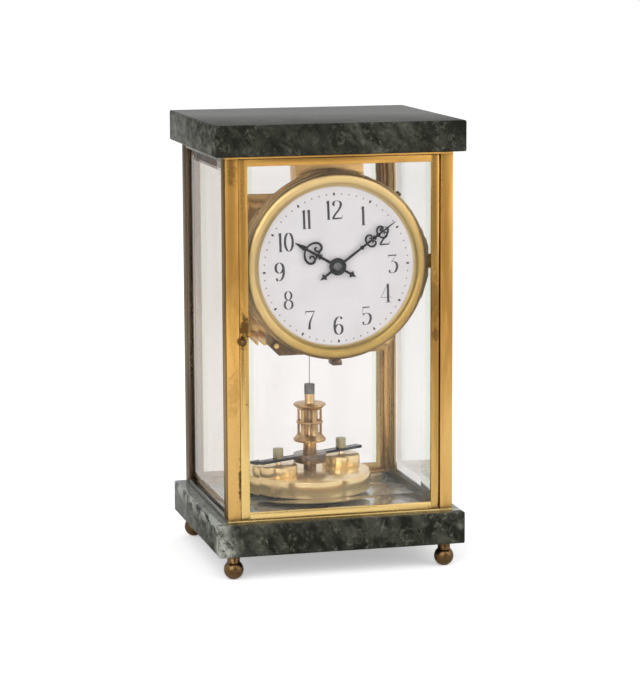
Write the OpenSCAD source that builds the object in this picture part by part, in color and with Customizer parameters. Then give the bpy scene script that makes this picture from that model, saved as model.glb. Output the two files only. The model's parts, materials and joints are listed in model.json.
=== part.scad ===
// Four-glass clock with a torsion pendulum.
// Marble slabs, brass frame, glazed front and rear doors, open movement, slow turning disc pendulum.
// Millimetres, +Z up, the dial faces -Y, the origin is on the floor under the middle of the case.

/* [Case] */
// width of both marble slabs
slab_w = 160; // [144:1:176]
// depth of both marble slabs
slab_d = 143; // [132:1:160]
// thickness of the base slab
base_t = 20.5; // [16:0.5:28]
// thickness of the top slab
top_t = 19.5; // [14:0.5:26]
// flat on every slab edge
slab_arris = 0.8; // [0.3:0.1:2]
// clear height between the slabs
body_h = 229.5; // [207:0.5:250]
// frame set in from the slab at each side
frame_inset_x = 7.1; // [4:0.1:8]
// frame set in from the slab at front and rear
frame_inset_y = 5.7; // [4.5:0.1:6]
// height of a ball foot
foot_h = 15.5; // [13.5:0.5:18]
// radius of the ball
foot_r = 6.3; // [5.6:0.1:6.4]
// radius of the neck above the ball
foot_neck_r = 4; // [3:0.1:5]
// radius of the stud that clamps foot, base and post together
foot_stud_r = 1.9; // [1.5:0.1:2.2]
// how far a foot stud reaches into its post
foot_stud_bite = 9; // [6:0.5:14]
// how far a top stud reaches into its post and into the slab
top_stud_bite = 7; // [5:0.5:10]

/* [Brass frame] */
// post width seen from the front
post_w = 8; // [7.6:0.1:9]
// post depth seen from the side
post_d = 12; // [11.5:0.1:13]
// thickness of the flat rails above and below the doors
rail_t = 1.5; // [1.2:0.1:2]
// height of the glass channel on the side rails
channel_h = 2.5; // [1.5:0.1:4]
// depth of the glass groove in a post
groove_d = 2; // [1.5:0.1:2.4]
// overlap of the door stop behind the latch stile
stop_w = 1.9; // [1:0.1:2.2]
// thickness of the door stop
stop_t = 2.4; // [1.5:0.1:3]

/* [Glass and doors] */
// full thickness of the glass
glass_t = 3.2; // [2.8:0.1:3.5]
// thickness left at the bevelled edge
glass_edge_t = 1.6; // [1.2:0.1:2]
// width of the bevel
bevel_w = 9; // [6:0.5:14]
// door thickness
door_t = 5; // [4.8:0.1:5.5]
// width of a door stile
stile_w = 5.6; // [5.4:0.1:7]
// height of a door rail
door_rail_h = 4.4; // [4:0.1:6]
// thickness of the lip in front of the glass
lip_t = 2.4; // [2.2:0.1:2.5]
// rebate that takes the edge of the glass
rebate_w = 2.6; // [2:0.1:2.8]
// hinge pin radius
hinge_r = 0.9; // [0.7:0.05:1]
// hinge pin axis in from the door's front and side
hinge_in = 1.8; // [1.6:0.1:2]
// gap around a door
door_gap = 0.35; // [0.3:0.05:0.5]

/* [Door latch] */
// latch shaft axis in from the edge of the stile
latch_in = 1.55; // [1.4:0.05:1.6]
// latch shaft radius
latch_shaft_r = 0.8; // [0.6:0.05:0.85]
// radius of the turned latch knob
latch_knob_r = 2.7; // [2:0.1:3]
// how far the knob stands out from the door
latch_knob_h = 4.2; // [3:0.1:4.4]
// reach of the tongue behind the door
latch_tongue = 3.9; // [3.4:0.1:4.1]
// thickness of the tongue
latch_tongue_t = 1.8; // [1.4:0.1:2]

/* [Dial] */
// dial centre below the top slab
dial_down = 71; // [70:0.5:74]
// front of the bezel behind the front of the frame
bezel_back = 6.6; // [6.3:0.1:7]
// gap between the bezel and the posts
bezel_gap = 5.9; // [5:0.1:7]
// width of the bezel ring around the visible dial
bezel_w = 8.6; // [8:0.1:10]
// depth of the bezel with its skirt
bezel_depth = 12; // [11.5:0.1:13]
// edge of the enamel disc in from the edge of the bezel
dial_in = 4; // [3.4:0.1:5.5]
// middle of the enamel disc behind the front of the bezel
dial_back = 4.2; // [4:0.1:5]
// thickness of the enamel disc
dial_t = 1.4; // [1.2:0.1:1.6]
// rise of the enamel towards the centre
dial_dome = 0.6; // [0.3:0.05:0.7]

/* [Hands] */
// how far the minute hand stops short of the bezel
minute_short = 4.4; // [1.5:0.1:7]
// how far the hour hand stops short of the bezel
hour_short = 19.4; // [14:0.1:21]
// radius of the hand boss
hand_boss_r = 5.5; // [4.5:0.1:6]
// thickness of a hand
hand_t = 0.6; // [0.5:0.05:0.7]
// clockwise angle of the minute hand from twelve
minute_deg = 54; // [0:1:359]
// clockwise angle of the hour hand from twelve
hour_deg = 300; // [0:1:359]

/* [Movement plates] */
// width of the movement plates
plate_w = 84; // [82:1:92]
// plate height above the dial centre
plate_up = 40.5; // [38:0.5:44]
// plate height below the dial centre
plate_down = 57.5; // [57:0.5:60]
// plate thickness
plate_t = 2; // [1.8:0.1:2.4]
// cut-off of the lower plate corners
plate_cut = 8; // [4:0.5:9]
// pillar radius
pillar_r = 2.5; // [2:0.1:2.8]
// carrier plate thickness
carrier_t = 2; // [1.6:0.1:2.4]
// room between carrier and front plate
carrier_room = 4; // [3.6:0.1:4.4]
// radius of the hole in the carrier for the motion work
carrier_hole_r = 24; // [23:0.5:28]
// height of the ear that reaches the post
ear_h = 9; // [7:0.5:14]
// width of the top hanger
hanger_w = 44; // [36:1:50]
// width of the tab under the bezel
tab_w = 6; // [4:0.5:10]
// how far the tab hangs below the carrier
tab_h = 3.5; // [3:0.5:6]
// front of the tab behind the front of the bezel
tab_back = 3; // [2:0.5:6]

/* [Going train] */
// teeth of the spring barrel
barrel_n = 96; // [96:1:100]
// teeth of the second pinion
second_pinion_n = 12; // [12:1:14]
// teeth of the second wheel
second_n = 84; // [82:1:86]
// teeth of the third pinion
third_pinion_n = 10; // [10:1:12]
// teeth of the third wheel
third_n = 80; // [78:1:82]
// teeth of the centre pinion
centre_pinion_n = 8; // [8:1:10]
// teeth of the centre wheel
centre_n = 96; // [92:1:100]
// teeth of the escape pinion
escape_pinion_n = 8; // [8:1:9]
// teeth of the escape wheel
escape_n = 20; // [16:1:24]
// tooth module, barrel to second pinion
barrel_m = 0.46; // [0.45:0.005:0.47]
// tooth module, second wheel to third pinion
second_m = 0.38; // [0.37:0.005:0.39]
// tooth module, third wheel to centre pinion
third_m = 0.33; // [0.32:0.005:0.34]
// tooth module, centre wheel to escape pinion
centre_m = 0.26; // [0.25:0.005:0.27]
// barrel axis left of the dial centre
barrel_left = 17; // [16:0.5:18]
// barrel axis below the dial centre
barrel_down = 33; // [33:0.5:34]
// direction from barrel to second arbor
second_dir = 25; // [22:1:28]
// escape wheel radius at the tooth tips
escape_r = 8.5; // [7.5:0.1:8.8]
// anchor axis above the escape axis
anchor_up = 11.5; // [11:0.1:12]
// coils drawn for the mainspring
mainspring_turns = 6; // [3:1:7]
// ratchet teeth
ratchet_n = 24; // [20:2:28]
// ratchet radius at the tooth tips
ratchet_r = 8; // [7:0.1:9]
// side of the winding square
winding_sq = 4; // [3:0.1:4.2]

/* [Motion work] */
// teeth of the cannon pinion
cannon_n = 12; // [12:1:14]
// teeth of the minute wheel
minute_n = 36; // [34:1:38]
// teeth of the minute pinion
minute_pinion_n = 10; // [10:1:11]
// teeth of the hour wheel
hour_n = 40; // [38:1:42]
// tooth module of the cannon pinion and minute wheel
motion_m = 0.5; // [0.48:0.01:0.52]
// direction from the centre to the minute wheel
minute_dir = -60; // [-80:1:-40]

/* [Suspension] */
// pendulum axis behind the middle of the case
pend_y = 16; // [14.5:0.5:16.5]
// suspension wire radius
wire_r = 0.25; // [0.15:0.05:0.35]
// pendulum axis behind the back plate
pend_behind = 12.2; // [11.6:0.1:13]
// fork height above the dial centre
fork_up = 46; // [45:0.5:47]
// anchor pin in front of the pendulum axis
pin_ahead = 8; // [7.5:0.1:8.5]
// anchor pin radius
pin_r = 0.5; // [0.4:0.05:0.6]
// suspension cock height above the dial centre
cock_up = 64; // [62:0.5:66]
// width of the suspension cock's foot
cock_foot_w = 32; // [26:1:40]
// height of the suspension cock's foot
cock_foot_h = 7.5; // [6:0.5:10]
// room between the arms of the suspension cock
cock_room = 18; // [14:0.5:22]
// thickness of the suspension cock
cock_t = 2; // [1.6:0.1:2.6]

/* [Pendulum] */
// room between the disc and the rear door
disc_room = 4.8; // [4:0.1:9]
// disc thickness
disc_t = 12; // [10:0.5:13]
// underside of the disc above the base slab
disc_up = 2.5; // [2.4:0.1:4]
// radius of the two small drums as a share of the disc's
drum_share = 0.3125; // [0.26:0.0025:0.32]
// height of the two small drums
drum_h = 7; // [5:0.1:7.4]
// edge of a drum in from the edge of the disc
drum_in = 0.5; // [0.3:0.1:1.2]
// reach of the cross bar past the disc
bar_over = 3; // [0:0.5:3.5]
// width of the cross bar
bar_w = 6; // [5:0.1:8]
// thickness of the cross bar
bar_t = 1.8; // [1.4:0.1:2]
// direction of the cross bar in plan
bar_dir = 26; // [0:1:179]
// hub radius
hub_r = 10.8; // [8:0.1:12]
// underside of the hub above the disc
hub_up = 5.5; // [5:0.1:6]
// hub height
hub_h = 5.5; // [5:0.1:6]
// crown flange radius
crown_r = 10.8; // [10:0.1:12]
// crown waist radius
crown_waist_r = 8.3; // [7.6:0.1:8.8]
// crown height
crown_h = 25; // [22:0.5:27]
// ribs in the crown
crown_ribs = 6; // [4:1:8]
// radius of the shaft through the crown
shaft_r = 3.3; // [2.8:0.1:3.8]
// knurled clamp height
clamp_h = 6.6; // [5:0.1:8]
// thumb nut radius
nut_r = 3.4; // [2.6:0.1:4]
// thumb nut height
nut_h = 6.7; // [5:0.1:8]

/* [Fits] */
// running fit of an arbor in its hole, radial
run_fit = 0.05; // [0.03:0.01:0.08]
// seated fit of a fixed piece, radial
seat_fit = 0.02; // [0.01:0.01:0.05]
// room between pieces that move past each other
clear = 0.3; // [0.25:0.05:0.4]

/* [Hidden] */
$fn = 48;
frame_w = slab_w - 2 * frame_inset_x;
frame_d = slab_d - 2 * frame_inset_y;
fx = frame_w / 2;
fy = frame_d / 2;
z_floor = foot_h + base_t;
z_ceil = z_floor + body_h;
z_door0 = z_floor + rail_t + door_gap;
z_door1 = z_ceil - rail_t - door_gap;
door_h = z_door1 - z_door0;
post_x = fx - post_w;
post_y = fy - post_d;
foot_x = fx - post_w / 2;
foot_y = fy - 4.5;
door_x = post_x - door_gap;
hinge_x = door_x - hinge_in;
hinge_y = fy - hinge_in;
latch_x = door_x - latch_in;
latch_z = (z_floor + z_ceil) / 2;
glass_in = 5.2;
groove_w = glass_edge_t + 0.7;
side_glass_d = 2 * (post_y + groove_d - seat_fit);
side_glass_h = body_h - 2 * rail_t - 2 * seat_fit;
door_glass_w = 2 * (door_x - stile_w + rebate_w - seat_fit);
door_glass_h = door_h - 2 * (door_rail_h - rebate_w + seat_fit);
door_glass_back = fy - lip_t - glass_edge_t - (glass_t - glass_edge_t) * rebate_w / bevel_w - seat_fit;

dial_z = z_ceil - dial_down;
bezel_r = post_x - bezel_gap;
bezel_open_r = bezel_r - bezel_w;
dial_r = bezel_r - dial_in;
minute_len = bezel_open_r - minute_short;
hour_len = bezel_open_r - hour_short;
bezel_y = -fy + bezel_back;
carrier_y = bezel_y + bezel_depth;
dial_y = bezel_y + dial_back;
front_y0 = carrier_y + carrier_t + carrier_room;
front_y1 = front_y0 + plate_t;
back_y1 = pend_y - pend_behind;
back_y0 = back_y1 - plate_t;
ear_screw_bite = 2.2;
skirt_t = 2.2;
skirt_r = bezel_r - 0.6;

wheel_t = 1.5;
arbor_r = 1;
pivot_r = 0.7;
barrel_c = [-barrel_left, -barrel_down];
second_c = barrel_c + gear_dist(barrel_n, second_pinion_n, barrel_m) * [cos(second_dir), sin(second_dir)];
third_c = two_reach([0, 0], gear_dist(third_n, centre_pinion_n, third_m), second_c,
    gear_dist(second_n, third_pinion_n, second_m));
escape_c = [0, gear_dist(centre_n, escape_pinion_n, centre_m)];
anchor_c = escape_c + [0, anchor_up];
minute_dist = gear_dist(minute_n, cannon_n, motion_m);
minute_c = minute_dist * [cos(minute_dir), sin(minute_dir)];
hour_m = 2 * minute_dist / (hour_n + minute_pinion_n);
pillar_x = plate_w / 2 - 6;
pillar_up = plate_up - 6.5;
pillar_down = plate_down - 6.5;
boss_x = 30;
boss_z = 20;

barrel_y0 = front_y1 + 2;
barrel_y1 = back_y0 - 12.5;
barrel_wall_r = barrel_n * barrel_m / 2 - 2.4;
barrel_arbor_r = 3;
second_wheel_y = back_y0 - 10.5;
third_wheel_y = front_y1 + 12.5;
centre_wheel_y = front_y1 + 21;
escape_wheel_y = back_y0 - 10.5;
anchor_y = escape_wheel_y - 0.5;
pin_y = pend_y - pin_ahead;
anchor_z = dial_z + anchor_c[1];
fork_z = dial_z + fork_up;
wire_top = dial_z + cock_up - 9.5;

disc_r = fy - door_t - pend_y - disc_room;
drum_r = disc_r * drum_share;
drum_out = disc_r - drum_r - drum_in;
bar_len = 2 * (disc_r + bar_over);
cup_floor = 0.7;
cup_h = disc_up - 0.6;
guide_pin_h = disc_up - cup_floor - 0.5;
disc_z = z_floor + disc_up;
disc_top = disc_z + disc_t;
hub_z = disc_top + hub_up;
hub_top = hub_z + hub_h;
bar_z = hub_top - bar_t;
crown_z = hub_top + 8.5;
crown_top = crown_z + crown_h;
clamp_z = crown_top + 6.2;
clamp_top = clamp_z + clamp_h;
stud_r = 1.5;

marble = [0.17, 0.2, 0.18];
brass = [0.78, 0.58, 0.25];
copper_brass = [0.72, 0.5, 0.28];
steel = [0.45, 0.46, 0.48];
black_steel = [0.08, 0.08, 0.09];
enamel = [0.92, 0.92, 0.94];
clear_glass = [0.8, 0.88, 0.86, 0.35];

// distance between the axes of a wheel and its pinion
function gear_dist(n1, n2, m) = (n1 + n2) * m / 2;

// point at reach a from p and reach b from q, on the right of the way from p to q seen from q
function two_reach(p, a, q, b) =
    let (d = norm(q - p), u = (q - p) / d, k = (a * a - b * b + d * d) / (2 * d))
    p + k * u + sqrt(a * a - k * k) * [-u[1], u[0]];

// direction from p to q in degrees
function heading(p, q) = atan2(q[1] - p[1], q[0] - p[0]);

// turn of gear two that puts its gap on a tooth of gear one along the line of centres
function mesh_turn(turn1, n1, dir, n2) = dir + 180 - ((turn1 - dir) * n1 + 180) / n2;

// outline of a gear from rows of tooth stations: radius, share of the pitch, side
function gear_points(n, turn, rows) =
    [for (i = [0 : n - 1], s = rows)
        let (a = turn + (i + s[2] * s[1] / 2) * 360 / n) s[0] * [cos(a), sin(a)]];

function wheel_rows(r, m) = tooth_rows(r, m, 0.9, 1.25, 0.4, 0.16, 0.5);
function pinion_rows(r, m) = tooth_rows(r, m, 0.55, 1.35, 0.36, 0.2, 0.4);
function tooth_rows(r, m, tip, root, mid_w, tip_w, root_w) =
    [[r - root * m, root_w, -1], [r + 0.15 * m, mid_w, -1], [r + tip * m, tip_w, -1],
     [r + tip * m, tip_w, 1], [r + 0.15 * m, mid_w, 1], [r - root * m, root_w, 1]];

// extrude a front-view outline from depth y0 to depth y1
module along_y(y0, y1)
    translate([0, y1, 0])
        rotate([90, 0, 0])
            linear_extrude(y1 - y0)
                children();

// round bar along the depth
module rod_y(r, y0, y1)
    translate([0, y1, 0])
        rotate([90, 0, 0])
            cylinder(r = r, h = y1 - y0);

// move to a place in the front view, counted from the dial centre
module at_dial(c)
    translate([c[0], 0, dial_z + c[1]])
        children();

// copy to the four case corners, or turn a front piece round to the rear
module four_corners(x, y)
    for (sx = [-1, 1], sy = [-1, 1])
        translate([sx * x, sy * y, 0])
            children();

module to_rear()
    rotate([0, 0, 180])
        children();

// rectangle with its corners cut
module arris_square(a, b, c)
    polygon([[-a / 2 + c, -b / 2], [a / 2 - c, -b / 2], [a / 2, -b / 2 + c], [a / 2, b / 2 - c],
        [a / 2 - c, b / 2], [-a / 2 + c, b / 2], [-a / 2, b / 2 - c], [-a / 2, -b / 2 + c]]);

// block with a small flat on all twelve edges, standing on z = 0
module arris_block(w, d, h, c)
    intersection() {
        linear_extrude(h)
            arris_square(w, d, c);
        translate([-w / 2, 0, h / 2])
            rotate([90, 0, 90])
                linear_extrude(w)
                    arris_square(d, h, c);
        translate([0, d / 2, h / 2])
            rotate([90, 0, 0])
                linear_extrude(d)
                    arris_square(w, h, c);
    }

// Marble slabs

module base_slab()
    color(marble)
        difference() {
            translate([0, 0, foot_h])
                arris_block(slab_w, slab_d, base_t, slab_arris);
            four_corners(foot_x, foot_y)
                translate([0, 0, foot_h - 1])
                    cylinder(r = foot_stud_r + seat_fit, h = base_t + 2);
        }

module top_slab()
    color(marble)
        difference() {
            translate([0, 0, z_ceil])
                arris_block(slab_w, slab_d, top_t, slab_arris);
            four_corners(foot_x, foot_y)
                translate([0, 0, z_ceil - 1])
                    cylinder(r = stud_r + seat_fit, h = top_stud_bite + 1.5);
        }

// Ball feet, each turned in one piece with the long stud that clamps base and post

module ball_feet()
    color(brass)
        four_corners(foot_x, foot_y)
            ball_foot();

module ball_foot() {
    ball_z = foot_r * 0.93;
    rotate_extrude() {
        intersection() {
            translate([0, ball_z])
                circle(r = foot_r);
            square([foot_r, foot_h]);
        }
        translate([0, ball_z])
            square([foot_neck_r, foot_h - ball_z]);
        square([foot_stud_r, z_floor + rail_t + foot_stud_bite - 0.5]);
    }
}

module top_studs()
    color(steel)
        four_corners(foot_x, foot_y)
            translate([0, 0, z_ceil - rail_t - top_stud_bite])
                cylinder(r = stud_r, h = rail_t + 2 * top_stud_bite);

// Flat rails on the slabs: the side rails carry the glass channel, the others the hinge pins

module bottom_rails()
    color(brass)
        rail_set();

module top_rails()
    color(brass)
        translate([0, 0, z_floor + z_ceil])
            mirror([0, 0, 1])
                rail_set();

module rail_set() {
    front_rail();
    to_rear()
        front_rail();
    side_rail();
    to_rear()
        side_rail();
}

module front_rail() {
    len = 2 * (post_x - 0.05);
    difference() {
        translate([-len / 2, -fy, z_floor])
            cube([len, post_w, rail_t]);
        translate([hinge_x, -hinge_y, z_floor - 1])
            cylinder(r = hinge_r + run_fit, h = rail_t + 2);
    }
}

module side_rail() {
    run = 2 * (post_y - 0.05);
    difference() {
        union() {
            translate([post_x, -fy, z_floor])
                cube([post_w, frame_d, rail_t]);
            translate([post_x, -run / 2, z_floor])
                cube([post_w, run, rail_t + channel_h]);
        }
        translate([fx - glass_in - 0.05, -run, z_floor + rail_t])
            cube([groove_w, 2 * run, channel_h + 1]);
        for (sy = [-1, 1])
            translate([foot_x, sy * foot_y, z_floor - 1])
                cylinder(r = foot_stud_r + seat_fit, h = rail_t + 2);
    }
}

// Corner posts: a stop behind the latch stile on two of them, grooves for the side glass on all

module post_front_left()
    color(brass)
        latch_post();

module post_rear_right()
    color(brass)
        to_rear()
            latch_post();

module post_front_right()
    color(brass)
        plain_post();

module post_rear_left()
    color(brass)
        to_rear()
            plain_post();

module plain_post()
    translate([foot_x, -foot_y, 0])
        mirror([1, 0, 0])
            post_at_corner();

module latch_post()
    difference() {
        union() {
            translate([-foot_x, -foot_y, 0])
                post_at_corner();
            translate([-post_x, -fy + door_t + clear, z_floor + rail_t])
                cube([stop_w, stop_t, body_h - 2 * rail_t]);
        }
        translate([-post_x - 2.9, -fy + door_t - 0.1, latch_z - 2.4])
            cube([2.9 + stop_w + 1, latch_tongue_t + 1.1, latch_tongue + 4.4]);
        translate([-post_x + 0.01, -fy + door_t, dial_z - ear_h / 2 - clear])
            cube([stop_w + 1, post_d, ear_h + 2 * clear]);
    }

module post_at_corner() {
    z0 = z_floor + rail_t;
    z1 = z_ceil - rail_t;
    difference() {
        translate([-post_w / 2, foot_y - fy, z0])
            cube([post_w, post_d, z1 - z0]);
        translate([foot_x - fx + glass_in - groove_w + 0.05, foot_y - post_y - groove_d, z0 - 1])
            cube([groove_w, groove_d + 1, z1 - z0 + 2]);
        translate([0, 0, z0 - 1])
            cylinder(r = foot_stud_r + seat_fit, h = foot_stud_bite + 1);
        translate([0, 0, z1 - top_stud_bite - 0.5])
            cylinder(r = stud_r + seat_fit, h = top_stud_bite + 2);
        translate([post_w / 2 - ear_screw_bite - 0.2, foot_y - carrier_screw_y(), dial_z])
            rotate([0, 90, 0])
                cylinder(r = 1.2 + seat_fit, h = post_w);
    }
}

// depth of the ear screws, midway along the part of the post behind the door stop
function carrier_screw_y() = fy - (door_t + clear + stop_t + post_d) / 2;

// Bevelled glass: flat inside, the bevels of the four edges face out

function bevel_row(len) =
    [[-len / 2, 0], [len / 2, 0], [len / 2, glass_edge_t], [len / 2 - bevel_w, glass_t],
     [-len / 2 + bevel_w, glass_t], [-len / 2, glass_edge_t]];

// pane with its flat back on y = 0, bevels towards -Y, standing on z = 0
module pane(w, h)
    intersection() {
        linear_extrude(h)
            mirror([0, 1])
                polygon(bevel_row(w));
        translate([-w / 2, 0, h / 2])
            rotate([90, 0, 90])
                linear_extrude(w)
                    polygon([for (p = bevel_row(h)) [-p[1], p[0]]]);
    }

module right_glass()
    color(clear_glass)
        side_glass();

module left_glass()
    color(clear_glass)
        to_rear()
            side_glass();

module side_glass()
    translate([fx - glass_in, 0, z_floor + rail_t + seat_fit])
        rotate([0, 0, 90])
            pane(side_glass_d, side_glass_h);

// Doors: lipped brass stiles and rails, glass bedded in the rebate, pins in the hinge stile

module front_latch_stile()
    color(brass)
        latch_stile();

module rear_latch_stile()
    color(brass)
        to_rear()
            latch_stile();

module front_hinge_stile()
    color(brass)
        hinge_stile();

module rear_hinge_stile()
    color(brass)
        to_rear()
            hinge_stile();

module front_door_rails()
    color(brass)
        door_rails();

module rear_door_rails()
    color(brass)
        to_rear()
            door_rails();

module front_glass()
    color(clear_glass)
        door_glass();

module rear_glass()
    color(clear_glass)
        to_rear()
            door_glass();

module latch_stile()
    difference() {
        translate([-door_x, -fy, z_door0])
            cube([stile_w, door_t, door_h]);
        glass_seat();
        translate([-latch_x, 0, latch_z])
            rod_y(latch_shaft_r + run_fit, -fy - 1, -fy + door_t + 1);
    }

module hinge_stile() {
    difference() {
        translate([0, 0, z_door0])
            linear_extrude(door_h)
                hinge_section();
        glass_seat();
    }
    for (z = [z_door0 - door_gap - rail_t + 0.2, z_door1 - 4])
        translate([hinge_x, -hinge_y, z])
            cylinder(r = hinge_r, h = 4 + door_gap + rail_t - 0.2);
}

// stile section with its outer front edge rounded about the hinge axis
module hinge_section() {
    translate([door_x - stile_w, -fy])
        square([stile_w - hinge_in, door_t]);
    translate([hinge_x - 0.01, -hinge_y])
        square([hinge_in + 0.01, door_t - hinge_in]);
    translate([hinge_x, -hinge_y])
        circle(r = hinge_in);
}

module door_rails()
    difference() {
        for (z = [z_door0, z_door1 - door_rail_h])
            translate([-door_x + stile_w + seat_fit, -fy, z])
                cube([2 * (door_x - stile_w - seat_fit), door_t, door_rail_h]);
        glass_seat();
    }

// rebate for the glass, cut from behind the lip
module glass_seat()
    translate([-door_glass_w / 2 - seat_fit, -fy + lip_t, z_door0 + door_rail_h - rebate_w])
        cube([door_glass_w + 2 * seat_fit, door_t, door_glass_h + 2 * seat_fit]);

module door_glass()
    translate([0, -door_glass_back, z_door0 + door_rail_h - rebate_w + seat_fit])
        pane(door_glass_w, door_glass_h);

// Turn latch: knob outside, shaft through the stile, tongue inside

module front_latch()
    color(black_steel)
        turn_latch();

module rear_latch()
    color(black_steel)
        to_rear()
            turn_latch();

module turn_latch()
    translate([-latch_x, 0, latch_z]) {
        translate([0, -fy - 0.15, 0])
            rotate([90, 0, 0])
                rotate_extrude() {
                    square([latch_knob_r * 0.6, latch_knob_h * 0.5]);
                    square([latch_knob_r, 0.8]);
                    intersection() {
                        translate([0, latch_knob_h - latch_knob_r * 0.8])
                            circle(r = latch_knob_r * 0.8);
                        square(latch_knob_h);
                    }
                }
        rod_y(latch_shaft_r, -fy - 0.5, -fy + door_t + 0.25 + latch_tongue_t);
        along_y(-fy + door_t + 0.25, -fy + door_t + 0.25 + latch_tongue_t) {
            circle(r = 1.4);
            translate([-1.1, 0])
                square([2.2, latch_tongue]);
        }
    }

// Guide cup on the base, around the pin under the pendulum

module guide_cup()
    color(brass)
        translate([0, pend_y, z_floor])
            difference() {
                cylinder(r1 = 6, r2 = 4.2, h = cup_h);
                translate([0, 0, cup_floor])
                    cylinder(r = 2.6, h = 3);
            }

// Carrier behind the bezel: ears to the front posts, bosses to the movement

module carrier()
    color(brass) {
        at_dial([0, 0]) {
            difference() {
                along_y(carrier_y, carrier_y + carrier_t)
                    carrier_outline();
                for (a = [90, 210, 330])
                    rotate([0, -a, 0])
                        translate([dial_r - 9, 0, 0])
                            rod_y(1 + seat_fit, carrier_y - 1, carrier_y + carrier_t + 1);
                for (a = [45, 165, 285])
                    rotate([0, -a, 0])
                        translate([skirt_r - skirt_t / 2, 0, 0])
                            rod_y(0.6 + seat_fit, carrier_y - 1, carrier_y + carrier_t + 1);
            }
            for (sx = [-1, 1], sz = [-1, 1])
                translate([sx * boss_x, 0, sz * boss_z])
                    rod_y(3, carrier_y + carrier_t - 0.5, front_y0);
            for (sx = [-1, 1])
                ear_foot(sx);
            along_y(bezel_y + tab_back, carrier_y + 0.5)
                translate([-tab_w / 2, -skirt_r - 0.8 - tab_h])
                    square([tab_w, tab_h - 0.4]);
        }
    }

module carrier_outline()
    difference() {
        union() {
            circle(r = skirt_r + 0.8, $fn = 96);
            translate([-post_x, -ear_h / 2])
                square([2 * post_x, ear_h]);
            for (s = [-1, 1])
                polygon([[s * 40, -23], [s * (bezel_r - 3.4), -20], [s * (bezel_r + 0.8), -14],
                    [s * (bezel_r + 2.2), -9], [s * (bezel_r + 2.2), 9], [s * (bezel_r + 0.8), 14],
                    [s * (bezel_r - 3.4), 20], [s * 40, 23]]);
            translate([-tab_w / 2, -skirt_r - 0.8 - tab_h])
                square([tab_w, tab_h + 3]);
        }
        circle(r = carrier_hole_r, $fn = 64);
    }

module ear_foot(sx) {
    y0 = -fy + door_t + clear + stop_t + 0.2;
    difference() {
        translate([sx > 0 ? post_x - 1.6 : -post_x, y0, -ear_h / 2])
            cube([1.6, carrier_y + carrier_t - y0, ear_h]);
        translate([sx * (post_x - 3), -carrier_screw_y(), 0])
            rotate([0, sx * 90, 0])
                cylinder(r = 1.2 + seat_fit, h = 6);
    }
}

// screws that hold the ears to the posts and the bezel skirt to the carrier
module dial_screws()
    color(steel) {
        for (sx = [-1, 1])
            translate([sx * (post_x - 1.6), -carrier_screw_y(), dial_z])
                rotate([0, sx * 90, 0]) {
                    cylinder(r = 1.2, h = 1.6 + ear_screw_bite);
                    translate([0, 0, -1.2])
                        cylinder(r = 1.7, h = 1.2);
                }
        at_dial([0, 0])
            for (a = [45, 165, 285])
                rotate([0, -a, 0])
                    translate([skirt_r - skirt_t / 2, 0, 0]) {
                        rod_y(0.6, carrier_y - 3, carrier_y + carrier_t + 0.1);
                        rod_y(1.5, carrier_y + carrier_t, carrier_y + carrier_t + 1.2);
                    }
    }

// Bezel: rolled front moulding on a plain skirt

module bezel()
    color(brass)
        at_dial([0, 0])
            translate([0, carrier_y, 0])
                rotate([90, 0, 0])
                    difference() {
                        rotate_extrude($fn = 96)
                            bezel_section();
                        for (a = [45, 165, 285])
                            rotate([0, 0, a])
                                translate([skirt_r - skirt_t / 2, 0, -1])
                                    cylinder(r = 0.6 + seat_fit, h = 4.2);
                    }

// radius to the right, height above the carrier upwards: lip, hollow slope, roll, bead, skirt
module bezel_section() {
    h = bezel_depth;
    roll = 2.4;
    roll_c = [skirt_r - roll, h - roll];
    lip = h - dial_back - 0.3;
    polygon(concat(
        [[skirt_r - skirt_t, 0], [skirt_r, 0], [skirt_r, h - 4.6]],
        [for (a = [-70 : 35 : 70]) [skirt_r - 0.5, h - 3.6] + 1.1 * [cos(a), sin(a)]],
        [for (a = [10 : 20 : 150]) roll_c + roll * [cos(a), sin(a)]],
        [[bezel_open_r + 2.6, h - 2.4], [bezel_open_r + 1.8, h - 3.1], [bezel_open_r + 0.8, h - 3.4],
         [bezel_open_r, h - 3.8], [bezel_open_r, lip], [skirt_r - skirt_t, lip]]));
}

// Enamel dial, slightly domed, on three feet

module dial()
    color(enamel)
        at_dial([0, 0]) {
            translate([0, dial_y + dial_t + dial_dome, 0])
                rotate([90, 0, 0])
                    rotate_extrude($fn = 96)
                        polygon(concat(
                            [[hour_pipe_r() + 0.45, 0], [dial_r, 0]],
                            [for (k = [1 : -0.2 : 0.1]) [dial_r * k, dial_t + dial_dome * (1 - k * k)]],
                            [[hour_pipe_r() + 0.45, dial_t + dial_dome]]));
            for (a = [90, 210, 330])
                rotate([0, -a, 0])
                    translate([dial_r - 9, 0, 0])
                        rod_y(1, dial_y + dial_t + dial_dome - 0.5, carrier_y + carrier_t);
        }

// Hanger from the top slab down to the front plate

module top_hanger()
    color(brass) {
        translate([-hanger_w / 2, front_y1, dial_z + anchor_c[1] + 4])
            cube([hanger_w, 1.5, z_ceil - dial_z - anchor_c[1] - 4]);
        translate([-hanger_w / 2, front_y1, z_ceil - 1.5])
            cube([hanger_w, 15, 1.5]);
    }

// Movement plates and pillars

module plate_outline()
    polygon([[-plate_w / 2 + plate_cut, -plate_down], [plate_w / 2 - plate_cut, -plate_down],
        [plate_w / 2, -plate_down + plate_cut], [plate_w / 2, plate_up], [-plate_w / 2, plate_up],
        [-plate_w / 2, -plate_down + plate_cut]]);

module at_pillars()
    for (sx = [-1, 1], z = [pillar_up, -pillar_down])
        translate([sx * pillar_x, z])
            children();

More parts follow.
